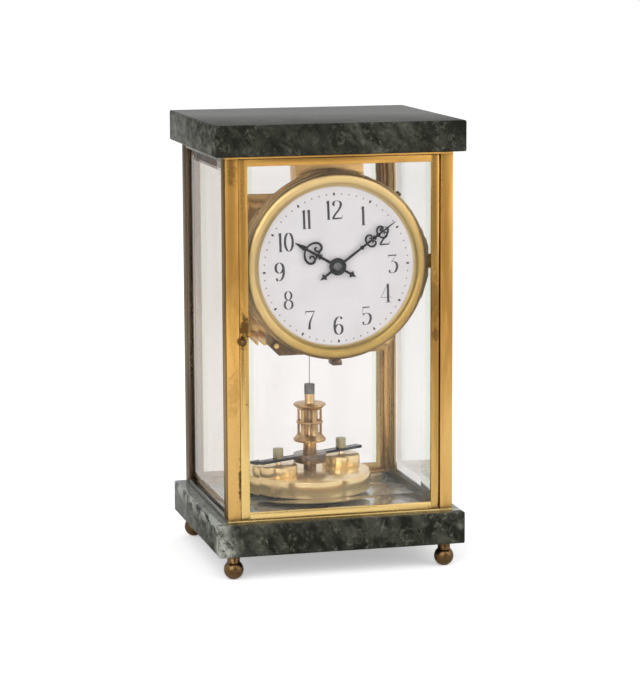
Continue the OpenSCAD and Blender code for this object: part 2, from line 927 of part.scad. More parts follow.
module plate_holes(r_anchor) {
    for (c = [second_c, third_c, escape_c])
        translate(c)
            circle(r = pivot_r + run_fit);
    translate(barrel_c)
        circle(r = barrel_arbor_r + run_fit);
    translate(anchor_c)
        circle(r = r_anchor);
    at_pillars()
        circle(r = stud_r + seat_fit);
}

module front_plate()
    color(brass)
        at_dial([0, 0]) {
            along_y(front_y0, front_y1)
                difference() {
                    plate_outline();
                    plate_holes(pivot_r + run_fit);
                    circle(r = centre_arbor_r() + run_fit);
                }
            translate([minute_c[0], 0, minute_c[1]])
                rod_y(arbor_r, minute_y() - 6.6, front_y0 + 0.5);
        }

module back_plate()
    color(brass)
        at_dial([0, 0])
            along_y(back_y0, back_y1)
                difference() {
                    plate_outline();
                    plate_holes(2.2);
                    circle(r = pivot_r + run_fit);
                    translate(click_c())
                        circle(r = 1.1 + seat_fit);
                }

module plate_pillars()
    color(brass)
        at_dial([0, 0])
            for (sx = [-1, 1], z = [pillar_up, -pillar_down])
                translate([sx * pillar_x, 0, z]) {
                    rod_y(pillar_r, front_y1, back_y0);
                    rod_y(stud_r, front_y0 - 2.2, back_y1 + 2.2);
                }

module plate_nuts()
    color(steel)
        at_dial([0, 0])
            for (y = [front_y0 - 1.8, back_y1])
                along_y(y, y + 1.8)
                    at_pillars()
                        difference() {
                            circle(r = 3, $fn = 6);
                            circle(r = stud_r + seat_fit);
                        }

// Going train: each arbor with its pinion and wheel, crossed out to four arms

module crossings(rim_r, hub, arm)
    difference() {
        circle(r = rim_r);
        circle(r = hub);
        for (a = [45, 135])
            rotate(a)
                square([3 * rim_r, arm], center = true);
    }

module train_wheel(n, m, turn, y)
    along_y(y, y + wheel_t)
        difference() {
            polygon(gear_points(n, turn, wheel_rows(n * m / 2, m)));
            crossings(n * m / 2 - 1.25 * m - 1.3, 3, 1.4);
        }

module leaf_pinion(n, m, turn, y0, y1)
    along_y(y0, y1)
        polygon(gear_points(n, turn, pinion_rows(n * m / 2, m)));

module arbor(r) {
    rod_y(r, front_y1 + 0.2, back_y0 - 0.2);
    rod_y(pivot_r, front_y0 + 0.2, back_y1 - 0.2);
}

module second_wheel()
    color(brass)
        at_dial(second_c) {
            arbor(arbor_r);
            leaf_pinion(second_pinion_n, barrel_m,
                mesh_turn(0, barrel_n, second_dir, second_pinion_n), front_y1 + 0.8, front_y1 + 5.6);
            train_wheel(second_n, second_m, 0, second_wheel_y);
        }

module third_wheel()
    color(brass)
        at_dial(third_c) {
            arbor(arbor_r);
            leaf_pinion(third_pinion_n, second_m,
                mesh_turn(0, second_n, heading(second_c, third_c), third_pinion_n),
                second_wheel_y - 2, second_wheel_y + 4);
            train_wheel(third_n, third_m, 0, third_wheel_y);
        }

function centre_arbor_r() = 1.2;

module centre_wheel()
    color(brass)
        at_dial([0, 0]) {
            rod_y(centre_pinion_n * third_m / 2 - 0.45, front_y1 + 0.2, back_y0 - 0.2);
            rod_y(pivot_r, back_y0 - 1, back_y1 - 0.2);
            rod_y(centre_arbor_r(), bezel_y + 0.2, front_y1 + 3);
            leaf_pinion(centre_pinion_n, third_m,
                mesh_turn(0, third_n, heading(third_c, [0, 0]), centre_pinion_n),
                third_wheel_y - 2, third_wheel_y + 3.5);
            train_wheel(centre_n, centre_m, 0, centre_wheel_y);
        }

// pointed teeth that lean forward, as on a dead-beat escape wheel
module escape_wheel()
    color(brass)
        at_dial(escape_c) {
            rod_y(escape_pinion_n * centre_m / 2 - 0.42, front_y1 + 0.2, back_y0 - 0.2);
            rod_y(0.55, front_y0 + 0.2, back_y1 - 0.2);
            rod_y(pivot_r, front_y0 + 0.2, front_y1 + 1.5);
            rod_y(pivot_r, back_y0 - 1.5, back_y1 - 0.2);
            leaf_pinion(escape_pinion_n, centre_m,
                mesh_turn(0, centre_n, 90, escape_pinion_n), centre_wheel_y - 1, centre_wheel_y + 2.5);
            along_y(escape_wheel_y, escape_wheel_y + 1)
                difference() {
                    polygon(gear_points(escape_n, 0, [[escape_r - 2, 0.7, -1], [escape_r, 0.1, 1],
                        [escape_r, 0.3, 1], [escape_r - 2, 0.5, 1]]));
                    crossings(escape_r - 3, 2, 1);
                }
        }

// Anchor: two pallets over the escape wheel, and the pin that reaches up to the fork

module anchor()
    color(steel)
        at_dial(anchor_c) {
            rod_y(arbor_r, front_y1 + 0.2, back_y1 + 5.7);
            rod_y(pivot_r, front_y0 + 0.2, back_y1 + 7.3);
            along_y(anchor_y, anchor_y + 2)
                anchor_outline();
            translate([0, pin_y, 0])
                cylinder(r = pin_r, h = fork_up - anchor_c[1] + 1.6);
            rod_y(1.5, pin_y - 1, pin_y + 1);
        }

module anchor_outline() {
    reach = escape_r + 0.75;
    dir = acos(escape_r / anchor_up);
    tip = [reach * sin(dir), reach * cos(dir) - anchor_up];
    circle(r = 2);
    for (s = [-1, 1])
        polygon([[0, 1.9], [s * (tip[0] + 0.6), -1.2], [s * (tip[0] + 1.5), tip[1] + 1.4],
            [s * (tip[0] + 0.9), tip[1] + 0.6], [s * tip[0], tip[1]], [s * (tip[0] - 0.7), tip[1] + 0.8],
            [s * (tip[0] - 0.6), -2.1], [0, -0.6]]);
}

module anchor_cock()
    color(brass)
        at_dial(anchor_c)
            difference() {
                union() {
                    translate([-8, back_y1 + 6, -5])
                        cube([16, 1.5, 8]);
                    for (s = [-1, 1])
                        translate([s * 7 - 1, back_y1, -5])
                            cube([2, 6, 8]);
                }
                rod_y(pivot_r + run_fit, back_y1 + 5, back_y1 + 9);
            }

// Spring barrel: toothed drum, snap-in cap, coiled mainspring, arbor with ratchet and square

module barrel()
    color(brass)
        at_dial(barrel_c)
            difference() {
                union() {
                    along_y(barrel_y0, barrel_y0 + 2.5)
                        polygon(gear_points(barrel_n, 0, wheel_rows(barrel_n * barrel_m / 2, barrel_m)));
                    rod_y(barrel_wall_r, barrel_y0, barrel_y1);
                }
                rod_y(barrel_wall_r - 1.4, barrel_y0 + 1.5, barrel_y1 - 1.5);
                rod_y(barrel_wall_r - 0.8, barrel_y1 - 1.5, barrel_y1 + 1);
                rod_y(barrel_arbor_r + run_fit, barrel_y0 - 1, barrel_y1 + 1);
            }

module barrel_cap()
    color(brass)
        at_dial(barrel_c)
            difference() {
                rod_y(barrel_wall_r - 0.8 - seat_fit, barrel_y1 - 1.5, barrel_y1);
                rod_y(barrel_arbor_r + run_fit, barrel_y1 - 3, barrel_y1 + 1);
            }

module mainspring() {
    steps = 18 * mainspring_turns;
    r0 = barrel_arbor_r + 1.2;
    r1 = barrel_wall_r - 2.4;
    strip_t = 0.5;
    echo(mainspring_gap = (r1 - r0) / mainspring_turns - strip_t);
    color(steel)
        at_dial(barrel_c)
            along_y(barrel_y0 + 2.5, barrel_y1 - 2.5)
                polygon(concat(
                    [for (i = [0 : steps]) (r0 + (r1 - r0) * i / steps) * [cos(20 * i), sin(20 * i)]],
                    [for (i = [steps : -1 : 0])
                        (r0 + strip_t + (r1 - r0) * i / steps) * [cos(20 * i), sin(20 * i)]]));
}

module winding_arbor()
    color(steel)
        at_dial(barrel_c) {
            rod_y(barrel_arbor_r, front_y0 - 1, back_y1 + 2);
            along_y(back_y1 + 0.5, back_y1 + 2)
                polygon(gear_points(ratchet_n, 0, [[ratchet_r - 1.2, 0.9, -1], [ratchet_r, 0.5, 1],
                    [ratchet_r - 1.2, 0.7, 1]]));
            along_y(back_y1 + 1.5, back_y1 + 11)
                square(winding_sq, center = true);
        }

function click_c() = barrel_c + [ratchet_r + 1.5, 10];

// spring-loaded pawl on the back plate, nose in the ratchet
module click()
    color(steel)
        at_dial(click_c()) {
            rod_y(1.1, back_y0 + 0.2, back_y1 + 2.6);
            rod_y(1.9, back_y1 + 2, back_y1 + 2.8);
            along_y(back_y1 + 0.5, back_y1 + 2)
                click_outline();
        }

module click_outline() {
    dir = 216 / ratchet_n;
    nose = (ratchet_r - 0.7) * [cos(dir), sin(dir)] + barrel_c - click_c();
    circle(r = 1.9);
    polygon([nose + [-0.1, -0.2], nose + [0.6, -0.2], [1.8, -0.4], [-1.4, 0.6], nose + [0.85, 1.4]]);
}

// Motion work under the dial: cannon pinion, minute wheel, hour wheel

function minute_y() = front_y0 - 3.2;
function hour_y() = minute_y() - 3.8;
function cannon_pipe_r() = 2.2;
function hour_pipe_r() = 3;

module cannon_pinion()
    color(brass)
        at_dial([0, 0])
            difference() {
                union() {
                    rod_y(cannon_pipe_r(), bezel_y + 0.9, minute_y() + 0.2);
                    leaf_pinion(cannon_n, motion_m,
                        mesh_turn(0, minute_n, minute_dir + 180, cannon_n), minute_y() - 0.3, front_y0 - 0.6);
                }
                rod_y(centre_arbor_r() + seat_fit, bezel_y, front_y0);
            }

module minute_wheel()
    color(brass)
        at_dial(minute_c)
            difference() {
                union() {
                    train_wheel(minute_n, motion_m, 0, minute_y());
                    leaf_pinion(minute_pinion_n, hour_m,
                        mesh_turn(0, hour_n, minute_dir, minute_pinion_n), minute_y() - 5, minute_y() + 0.5);
                }
                rod_y(arbor_r + run_fit, minute_y() - 6, front_y0);
            }

module hour_wheel()
    color(brass)
        at_dial([0, 0])
            difference() {
                union() {
                    train_wheel(hour_n, hour_m, 0, hour_y());
                    rod_y(hour_pipe_r(), bezel_y + 1.8, hour_y() + wheel_t);
                }
                rod_y(cannon_pipe_r() + run_fit, bezel_y, front_y0);
            }

// Hands: pierced scrolls, crossed tails, round boss

module ring2d(r, w)
    difference() {
        circle(r = r);
        circle(r = r - w);
    }

module hand_tail() {
    b = hand_boss_r;
    polygon([[-0.6, 1 - b], [-0.6, -b - 4.1], [-2, -b - 5], [-0.7, -b - 6.2], [0, -b - 8.4],
        [0.7, -b - 6.2], [2, -b - 5], [0.6, -b - 4.1], [0.6, 1 - b]]);
}

module minute_outline() {
    circle(r = hand_boss_r);
    hand_tail();
    polygon([[-0.75, 4], [0.75, 4], [0.45, minute_len - 7], [0.2, minute_len], [-0.2, minute_len],
        [-0.45, minute_len - 7]]);
    for (r = [19.4, 29.6, 32.6])
        translate([0, r])
            circle(r = 1.1);
    for (s = [-1, 1]) {
        translate([s * 2.3, 26.4])
            ring2d(2.4, 0.75);
        translate([s * 2.1, 35.4])
            ring2d(2.2, 0.75);
    }
}

module hour_outline() {
    circle(r = hand_boss_r - 0.4);
    hand_tail();
    polygon([[-0.9, 4], [0.9, 4], [0.7, 24], [1.3, 25.5], [0.2, hour_len], [-0.2, hour_len],
        [-1.3, 25.5], [-0.7, 24]]);
    translate([0, 13.2]) {
        circle(r = 1.2);
        square([4, 0.9], center = true);
    }
    for (s = [-1, 1]) {
        translate([s * 3.6, 18])
            ring2d(3.7, 1);
        translate([s * 2.3, 22.4])
            ring2d(2.5, 0.9);
    }
}

module minute_hand()
    color(black_steel)
        at_dial([0, 0]) {
            along_y(bezel_y + 0.8, bezel_y + 0.8 + hand_t)
                rotate(-minute_deg)
                    difference() {
                        minute_outline();
                        circle(r = cannon_pipe_r() + seat_fit);
                    }
            along_y(bezel_y + 0.3, bezel_y + 0.85)
                difference() {
                    circle(r = 2.6);
                    circle(r = centre_arbor_r() + seat_fit);
                }
        }

module hour_hand()
    color(black_steel)
        at_dial([0, 0])
            along_y(bezel_y + 1.9, bezel_y + 1.9 + hand_t)
                rotate(-hour_deg)
                    difference() {
                        hour_outline();
                        circle(r = hour_pipe_r() + seat_fit);
                    }

// Suspension: cock on the back plate, clamp block, wire, and the fork around the anchor pin

module suspension_cock()
    color(brass)
        translate([0, 0, dial_z]) {
            reach = pend_behind + 4;
            arm_x = (cock_room + cock_t) / 2;
            translate([-cock_foot_w / 2, back_y1, plate_up - cock_foot_h])
                cube([cock_foot_w, 0.8 * cock_t, cock_foot_h]);
            for (s = [-1, 1])
                translate([s * arm_x - cock_t / 2, back_y1, plate_up - cock_foot_h])
                    cube([cock_t, reach, cock_up - plate_up + cock_foot_h]);
            translate([-arm_x - cock_t / 2, back_y1, cock_up - 3])
                cube([cock_room + 2 * cock_t, reach, 3]);
        }

module suspension_block()
    color(brass)
        translate([0, pend_y, dial_z + cock_up - 10.5])
            difference() {
                translate([-2, -1.6, 0])
                    cube([4, 3.2, 7.5]);
                translate([0, 0, -1])
                    cylinder(r = wire_r + run_fit, h = 3);
            }

module suspension_wire()
    color(steel)
        translate([0, pend_y, clamp_top - 2])
            cylinder(r = wire_r, h = wire_top - clamp_top + 2);

module fork()
    color(brass)
        translate([0, pend_y, fork_z - 0.8])
            difference() {
                union() {
                    translate([-2, -1.4, 0])
                        cube([4, 2.8, 1.6]);
                    for (s = [-1, 1])
                        translate([s * (pin_r + 0.35 + 0.35) - 0.35, -pin_ahead - 1.6, 0.3])
                            cube([0.7, pin_ahead + 1.6, 1]);
                }
                translate([0, 0, -1])
                    cylinder(r = wire_r + run_fit, h = 4);
            }

// Pendulum: knurled clamp, ribbed crown, cross bar with hub, two drums, heavy disc

module pendulum_clamp()
    color(steel)
        translate([0, pend_y, clamp_z])
            difference() {
                linear_extrude(clamp_h)
                    polygon(gear_points(24, 0, [[shaft_r - 0.15, 1, -1], [shaft_r + 0.1, 0, 1]]));
                translate([0, 0, clamp_h - 3])
                    cylinder(r = wire_r + seat_fit, h = 4);
            }

module pendulum_crown()
    color(copper_brass)
        translate([0, pend_y, 0]) {
            rotate_extrude() {
                translate([0, crown_z])
                    square([shaft_r, clamp_z - crown_z]);
                translate([0, hub_top])
                    square([shaft_r + 1.1, crown_z - hub_top + 1]);
                polygon([[0, crown_z], [crown_r - 0.4, crown_z], [crown_r, crown_z + 1.2],
                    [crown_waist_r, crown_z + 4.2], [0, crown_z + 4.2]]);
                polygon([[0, crown_top - 3.6], [crown_waist_r, crown_top - 3.6], [crown_r, crown_top - 1],
                    [crown_r - 0.6, crown_top], [0, crown_top]]);
                translate([crown_waist_r - 0.3, crown_z + crown_h * 0.5])
                    circle(r = 0.9);
            }
            for (i = [0 : crown_ribs - 1])
                rotate([0, 0, (i + 0.5) * 360 / crown_ribs])
                    rotate_extrude(angle = 20)
                        translate([crown_waist_r - 1.6, crown_z + 3])
                            square([1.4, crown_h - 6]);
        }

module pendulum_bar()
    color(black_steel)
        translate([0, pend_y, 0])
            rotate([0, 0, bar_dir]) {
                translate([0, 0, hub_z])
                    cylinder(r = hub_r, h = hub_h);
                translate([0, 0, disc_top])
                    cylinder(r = shaft_r + 0.9, h = hub_up + 1);
                difference() {
                    translate([-bar_len / 2, -bar_w / 2, bar_z])
                        cube([bar_len, bar_w, bar_t]);
                    for (s = [-1, 1])
                        translate([s * drum_out, 0, bar_z - 1])
                            cylinder(r = stud_r + seat_fit, h = bar_t + 2);
                }
            }

module pendulum_disc()
    color(brass)
        translate([0, pend_y, disc_z]) {
            rotate_extrude($fn = 96)
                polygon([[0, 0], [disc_r - 0.8, 0], [disc_r, 0.8], [disc_r, disc_t - 0.8],
                    [disc_r - 0.8, disc_t], [0, disc_t]]);
            translate([0, 0, -guide_pin_h])
                cylinder(r = 1, h = guide_pin_h + 1);
        }

module pendulum_drums()
    color(brass)
        translate([0, pend_y, disc_top])
            rotate([0, 0, bar_dir])
                for (s = [-1, 1])
                    translate([s * drum_out, 0, 0]) {
                        rotate_extrude()
                            polygon([[0, 0], [drum_r, 0], [drum_r, drum_h - 0.6], [drum_r - 0.6, drum_h],
                                [0, drum_h]]);
                        cylinder(r = stud_r, h = hub_top + nut_h - 1.1 - disc_top);
                    }

module thumb_nut_left()
    color(brass)
        thumb_nut(-1);

module thumb_nut_right()
    color(brass)
        thumb_nut(1);

module thumb_nut(s)
    translate([0, pend_y, hub_top])
        rotate([0, 0, bar_dir])
            translate([s * drum_out, 0, 0])
                difference() {
                    linear_extrude(nut_h)
                        polygon(gear_points(24, 0, [[nut_r - 0.2, 1, -1], [nut_r, 0, 1]]));
                    translate([0, 0, -1])
                        cylinder(r = stud_r + run_fit, h = nut_h + 0.2);
                }

base_slab();
top_slab();
ball_feet();
top_studs();
bottom_rails();
top_rails();
post_front_left();
post_front_right();
post_rear_left();
post_rear_right();
left_glass();
right_glass();
guide_cup();
front_latch_stile();
front_hinge_stile();
front_door_rails();
front_glass();
front_latch();
rear_latch_stile();
rear_hinge_stile();
rear_door_rails();
rear_glass();
rear_latch();
carrier();
dial_screws();
bezel();
dial();
top_hanger();
front_plate();
back_plate();
plate_pillars();
plate_nuts();
anchor_cock();
suspension_cock();
suspension_block();
barrel();
barrel_cap();
mainspring();
winding_arbor();
click();
second_wheel();
third_wheel();
centre_wheel();
cannon_pinion();
minute_hand();
minute_wheel();
hour_wheel();
hour_hand();
escape_wheel();
anchor();
fork();
suspension_wire();
pendulum_clamp();
pendulum_crown();
pendulum_bar();
pendulum_disc();
pendulum_drums();
thumb_nut_left();
thumb_nut_right();
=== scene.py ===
import json
import math

import bmesh
import bpy
from mathutils import Matrix, Vector


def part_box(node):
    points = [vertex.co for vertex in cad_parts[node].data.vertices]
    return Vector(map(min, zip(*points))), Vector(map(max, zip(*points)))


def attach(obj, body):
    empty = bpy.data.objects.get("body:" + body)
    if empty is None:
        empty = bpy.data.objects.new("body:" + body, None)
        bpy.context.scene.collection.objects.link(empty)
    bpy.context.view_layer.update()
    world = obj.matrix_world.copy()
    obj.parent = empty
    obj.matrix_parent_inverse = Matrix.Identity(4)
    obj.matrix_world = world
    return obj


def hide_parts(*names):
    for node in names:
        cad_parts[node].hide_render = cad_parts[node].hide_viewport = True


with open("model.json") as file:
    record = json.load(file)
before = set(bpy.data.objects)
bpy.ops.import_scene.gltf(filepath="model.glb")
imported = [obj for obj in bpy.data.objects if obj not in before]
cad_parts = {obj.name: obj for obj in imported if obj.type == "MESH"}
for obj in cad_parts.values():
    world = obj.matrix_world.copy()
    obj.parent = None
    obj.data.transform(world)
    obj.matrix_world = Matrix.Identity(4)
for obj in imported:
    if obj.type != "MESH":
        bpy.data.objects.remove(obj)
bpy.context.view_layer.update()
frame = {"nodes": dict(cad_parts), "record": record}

scene = bpy.context.scene
scene.view_settings.view_transform = "Standard"

# The view: a long lens to the left of the clock and a little above its top, turned right and down
# towards the dial, with the verticals almost upright.
CAMERA_AT = Vector((-0.4145, -1.6298, 0.4092))
CAMERA_YAW, CAMERA_PITCH, CAMERA_ROLL = (math.radians(a) for a in (14.382, 9.081, -0.248))
LENS_MM, SENSOR_MM, NEAREST_M = 139.87, 36, 0.05
ahead = Vector((math.sin(CAMERA_YAW) * math.cos(CAMERA_PITCH),
                math.cos(CAMERA_YAW) * math.cos(CAMERA_PITCH), -math.sin(CAMERA_PITCH)))
level_right = Vector((math.cos(CAMERA_YAW), -math.sin(CAMERA_YAW), 0))
level_up = level_right.cross(ahead)
cam_right = level_right * math.cos(CAMERA_ROLL) + level_up * math.sin(CAMERA_ROLL)
cam_up = level_up * math.cos(CAMERA_ROLL) - level_right * math.sin(CAMERA_ROLL)
camera = bpy.data.objects.new("camera", bpy.data.cameras.new("camera"))
camera.data.lens = LENS_MM
camera.data.sensor_width = SENSOR_MM
camera.data.clip_start = NEAREST_M
camera.matrix_world = Matrix([(cam_right[i], cam_up[i], -ahead[i], CAMERA_AT[i]) for i in range(3)]
                             + [(0, 0, 0, 1)])
scene.collection.objects.link(camera)
scene.camera = camera


# The studio: a white sweep all round, darker only behind the lens, two large soft lamps, and a white
# table top that keeps the shadow under the clock.
class Shade:
    """One socket of a node tree. Arithmetic on it adds Math nodes, add() any other node."""

    def __init__(self, tree, socket=None):
        self.tree, self.socket = tree, socket

    def add(self, kind, sockets=None, out=0, **settings):
        node = self.tree.nodes.new("ShaderNode" + kind)
        for key, value in settings.items():
            setattr(node, key, value)
        self.feed(node, sockets or {})
        return Shade(self.tree, node.outputs[out])

    def feed(self, node, sockets):
        for key, value in sockets.items():
            if isinstance(value, Shade):
                self.tree.links.new(value.socket, node.inputs[key])
            else:
                node.inputs[key].default_value = value

    def math(self, operation, a, b):
        return self.add("Math", {0: a, 1: b}, operation=operation)

    def __add__(self, other):
        return self.math("ADD", self, other)

    __radd__ = __add__

    def __sub__(self, other):
        return self.math("SUBTRACT", self, other)

    def __rsub__(self, other):
        return self.math("SUBTRACT", other, self)

    def __mul__(self, other):
        return self.math("MULTIPLY", self, other)

    __rmul__ = __mul__

    def __abs__(self):
        return self.math("ABSOLUTE", self, 0)

    def either(self, other):
        return self.math("MAXIMUM", self, other)

    def above(self, low, high):
        """0 below low, 1 above high, smooth between; with low over high it falls instead."""
        return self.add("MapRange", {"Value": self, "From Min": low, "From Max": high},
                        interpolation_type="SMOOTHSTEP")

    def part(self, axis):
        """One number of a vector: 0 is x, 1 is y, 2 is z."""
        return self.add("SeparateXYZ", {0: self}, out=axis)

    def stretch(self, scale, turn=(0, 0, 0), shift=(0, 0, 0)):
        return self.add("Mapping", {"Vector": self, "Scale": scale, "Rotation": turn, "Location": shift})

    def away(self, point, scale=(1, 1, 1)):
        """Distance from a point, each axis scaled; a scale of 0 leaves that axis out."""
        offset = self.stretch(scale, shift=[-p * s for p, s in zip(point, scale)])
        return self.add("VectorMath", {0: offset}, out=1, operation="LENGTH")

    def noise(self, scale, detail=4.0, roughness=0.55, distortion=0.0):
        """Noise on this vector, about 0.5."""
        return self.add("TexNoise", {"Vector": self, "Scale": scale, "Detail": detail,
                                     "Roughness": roughness, "Distortion": distortion})

    def blend(self, a, b):
        """Colour a where this is 0, colour b where it is 1."""
        return self.add("Mix", {0: self, 6: a, 7: b}, out=2, data_type="RGBA")

    def grey(self):
        return self.add("CombineColor", {0: self, 1: self, 2: self})

    def bump(self, strength, depth):
        return self.add("Bump", {"Height": self, "Strength": strength, "Distance": depth})

    def rays(self):
        """What the Light Path node tells about a ray, by name."""
        path = self.add("LightPath")
        return {s.name: Shade(self.tree, s) for s in path.socket.node.outputs}


DAYLIGHT = 0.74
SWEEP, CEILING, FLANKS, LENS_SIDE, FAR_SIDE = 0.6, 0.6, 0.3, 0.28, 0.24
world = bpy.data.worlds.new("studio")
world.use_nodes = True
scene.world = world
sky = Shade(world.node_tree)
sky_rays = sky.rays()
heading = sky.add("TexCoord", out=0)
overhead = heading.part(2).above(0.3, 0.8)
beside = abs(heading.part(0)).above(0.5, 0.9)
behind_lens = heading.part(1).above(-0.35, -0.85)
behind_clock = heading.part(1).above(0.5, 0.9)
mirrored = SWEEP + CEILING * overhead + FLANKS * beside - LENS_SIDE * behind_lens - FAR_SIDE * behind_clock
straight = sky_rays["Is Camera Ray"].either(sky_rays["Is Transmission Ray"])
lit = DAYLIGHT + sky_rays["Is Glossy Ray"] * (mirrored - DAYLIGHT)
level = straight + (1.0 - straight) * lit
sky.feed(world.node_tree.nodes["Background"], {"Color": level.grey()})


def soft_lamp(name, at, aim, size, power):
    lamp = bpy.data.objects.new(name, bpy.data.lights.new(name, "AREA"))
    lamp.data.shape = "SQUARE"
    lamp.data.size = size
    lamp.data.energy = power
    towards = (Vector(aim) - Vector(at)).to_track_quat("-Z", "Y")
    lamp.matrix_world = Matrix.Translation(at) @ towards.to_matrix().to_4x4()
    scene.collection.objects.link(lamp)


LAMP_SIZE, LAMP_AIM = 1.9, (0, 0, 0.15)
soft_lamp("key_lamp", (-1.2, -1.6, 1.1), LAMP_AIM, LAMP_SIZE, 25.5)
soft_lamp("fill_lamp", (1.4, -1.3, 1.05), LAMP_AIM, LAMP_SIZE, 13.5)

TABLE_HALF, TABLE_Z = 5.0, -0.0002
SEEN_STRAIGHT, SEEN_THROUGH_GLASS = 0.38, 0.22
table_mesh = bpy.data.meshes.new("table_top")
table_mesh.from_pydata([(x * TABLE_HALF, y * TABLE_HALF, TABLE_Z)
                        for x, y in ((-1, -1), (1, -1), (1, 1), (-1, 1))], [], [(0, 1, 2, 3)])
table_top = bpy.data.objects.new("table_top", table_mesh)
scene.collection.objects.link(table_top)
table_white = bpy.data.materials.new("table_white")
table_white.use_nodes = True
table_shade = Shade(table_white.node_tree)
table_rays = table_shade.rays()
table_seen = (table_rays["Is Camera Ray"] * SEEN_STRAIGHT).either(
    table_rays["Is Transmission Ray"] * SEEN_THROUGH_GLASS)
table_shade.feed(table_white.node_tree.nodes["Principled BSDF"], {
    "Base Color": (0.93, 0.93, 0.93, 1), "Roughness": 0.8, "Specular IOR Level": 0.1,
    "Emission Strength": 1.0, "Emission Color": table_seen.grey()})
table_mesh.materials.append(table_white)


# Base and top slabs: polished dark green marble, almost black, clouded with grey green and marked
# with short pale ticks and one pale corner; sawn, with a small flat rubbed on every edge.
body_of = {node: body for body, nodes in frame["record"]["behaviour"]["bodies"].items() for node in nodes}


def new_finish(name, make):
    """A material whose look is what make(coordinates) gives for the sockets of its shader."""
    material = bpy.data.materials.new(name)
    material.use_nodes = True
    shade = Shade(material.node_tree)
    where = shade.add("TexCoord", out=3)
    shade.feed(material.node_tree.nodes["Principled BSDF"], make(where))
    return material


def place(mesh, name, material, body, node=None, sharp=30):
    """Put a finished mesh in the scene on its body, in place of its CAD node."""
    mesh.shade_smooth()
    mesh.set_sharp_from_angle(angle=math.radians(sharp))
    mesh.materials.clear()
    mesh.materials.append(material)
    piece = bpy.data.objects.new(name, mesh)
    scene.collection.objects.link(piece)
    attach(piece, body)
    if node:
        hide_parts(node)


MERGE_M, FLAT_DEG = 2e-6, 0.6


def dress(nodes, material, edge_mm=0.0, sharp=30):
    """CAD pieces with their edges eased and their round faces smooth."""
    for node in nodes:
        bm = bmesh.new()
        bm.from_mesh(frame["nodes"][node].data)
        bmesh.ops.remove_doubles(bm, verts=bm.verts, dist=MERGE_M)
        bmesh.ops.dissolve_limit(bm, angle_limit=math.radians(FLAT_DEG), verts=bm.verts, edges=bm.edges)
        if edge_mm:
            corners = [e for e in bm.edges if e.is_manifold and e.calc_face_angle(0) > math.radians(sharp)]
            bmesh.ops.bevel(bm, geom=corners, offset=edge_mm / 1000, segments=2, profile=0.5,
                            affect="EDGES", clamp_overlap=True)
        mesh = bpy.data.meshes.new(node + "_finished")
        bm.to_mesh(mesh)
        bm.free()
        place(mesh, node + "_finished", material, body_of[node], node, sharp=sharp)


SLAB_EDGE = 0.25
MARBLE_DEEP, MARBLE_GREEN = (0.0145, 0.0147, 0.0115, 1), (0.061, 0.062, 0.048, 1)
CRUMB_GREY, TICK_PALE = (0.15, 0.155, 0.118, 1), (0.27, 0.27, 0.22, 1)
LEFT_PAINTED_LIGHT, EDGE_PALE, CORNER_PALE = (0.19, 0.195, 0.16, 1), (0.38, 0.4, 0.35, 1), (0.4, 0.41, 0.36, 1)
# pale tones for the top of the base inside the case: painted reflection of the white room
BED_REFLECTION_LEFT, BED_REFLECTION_RIGHT = (0.31, 0.335, 0.32, 1), (0.66, 0.71, 0.68, 1)
PALE_CORNER_AT = (-0.079, -0.07, 0.019)
LEFT_EDGE_AT = (-0.08, 0, 0.036)
DOOR_SILL_Y = -0.0664


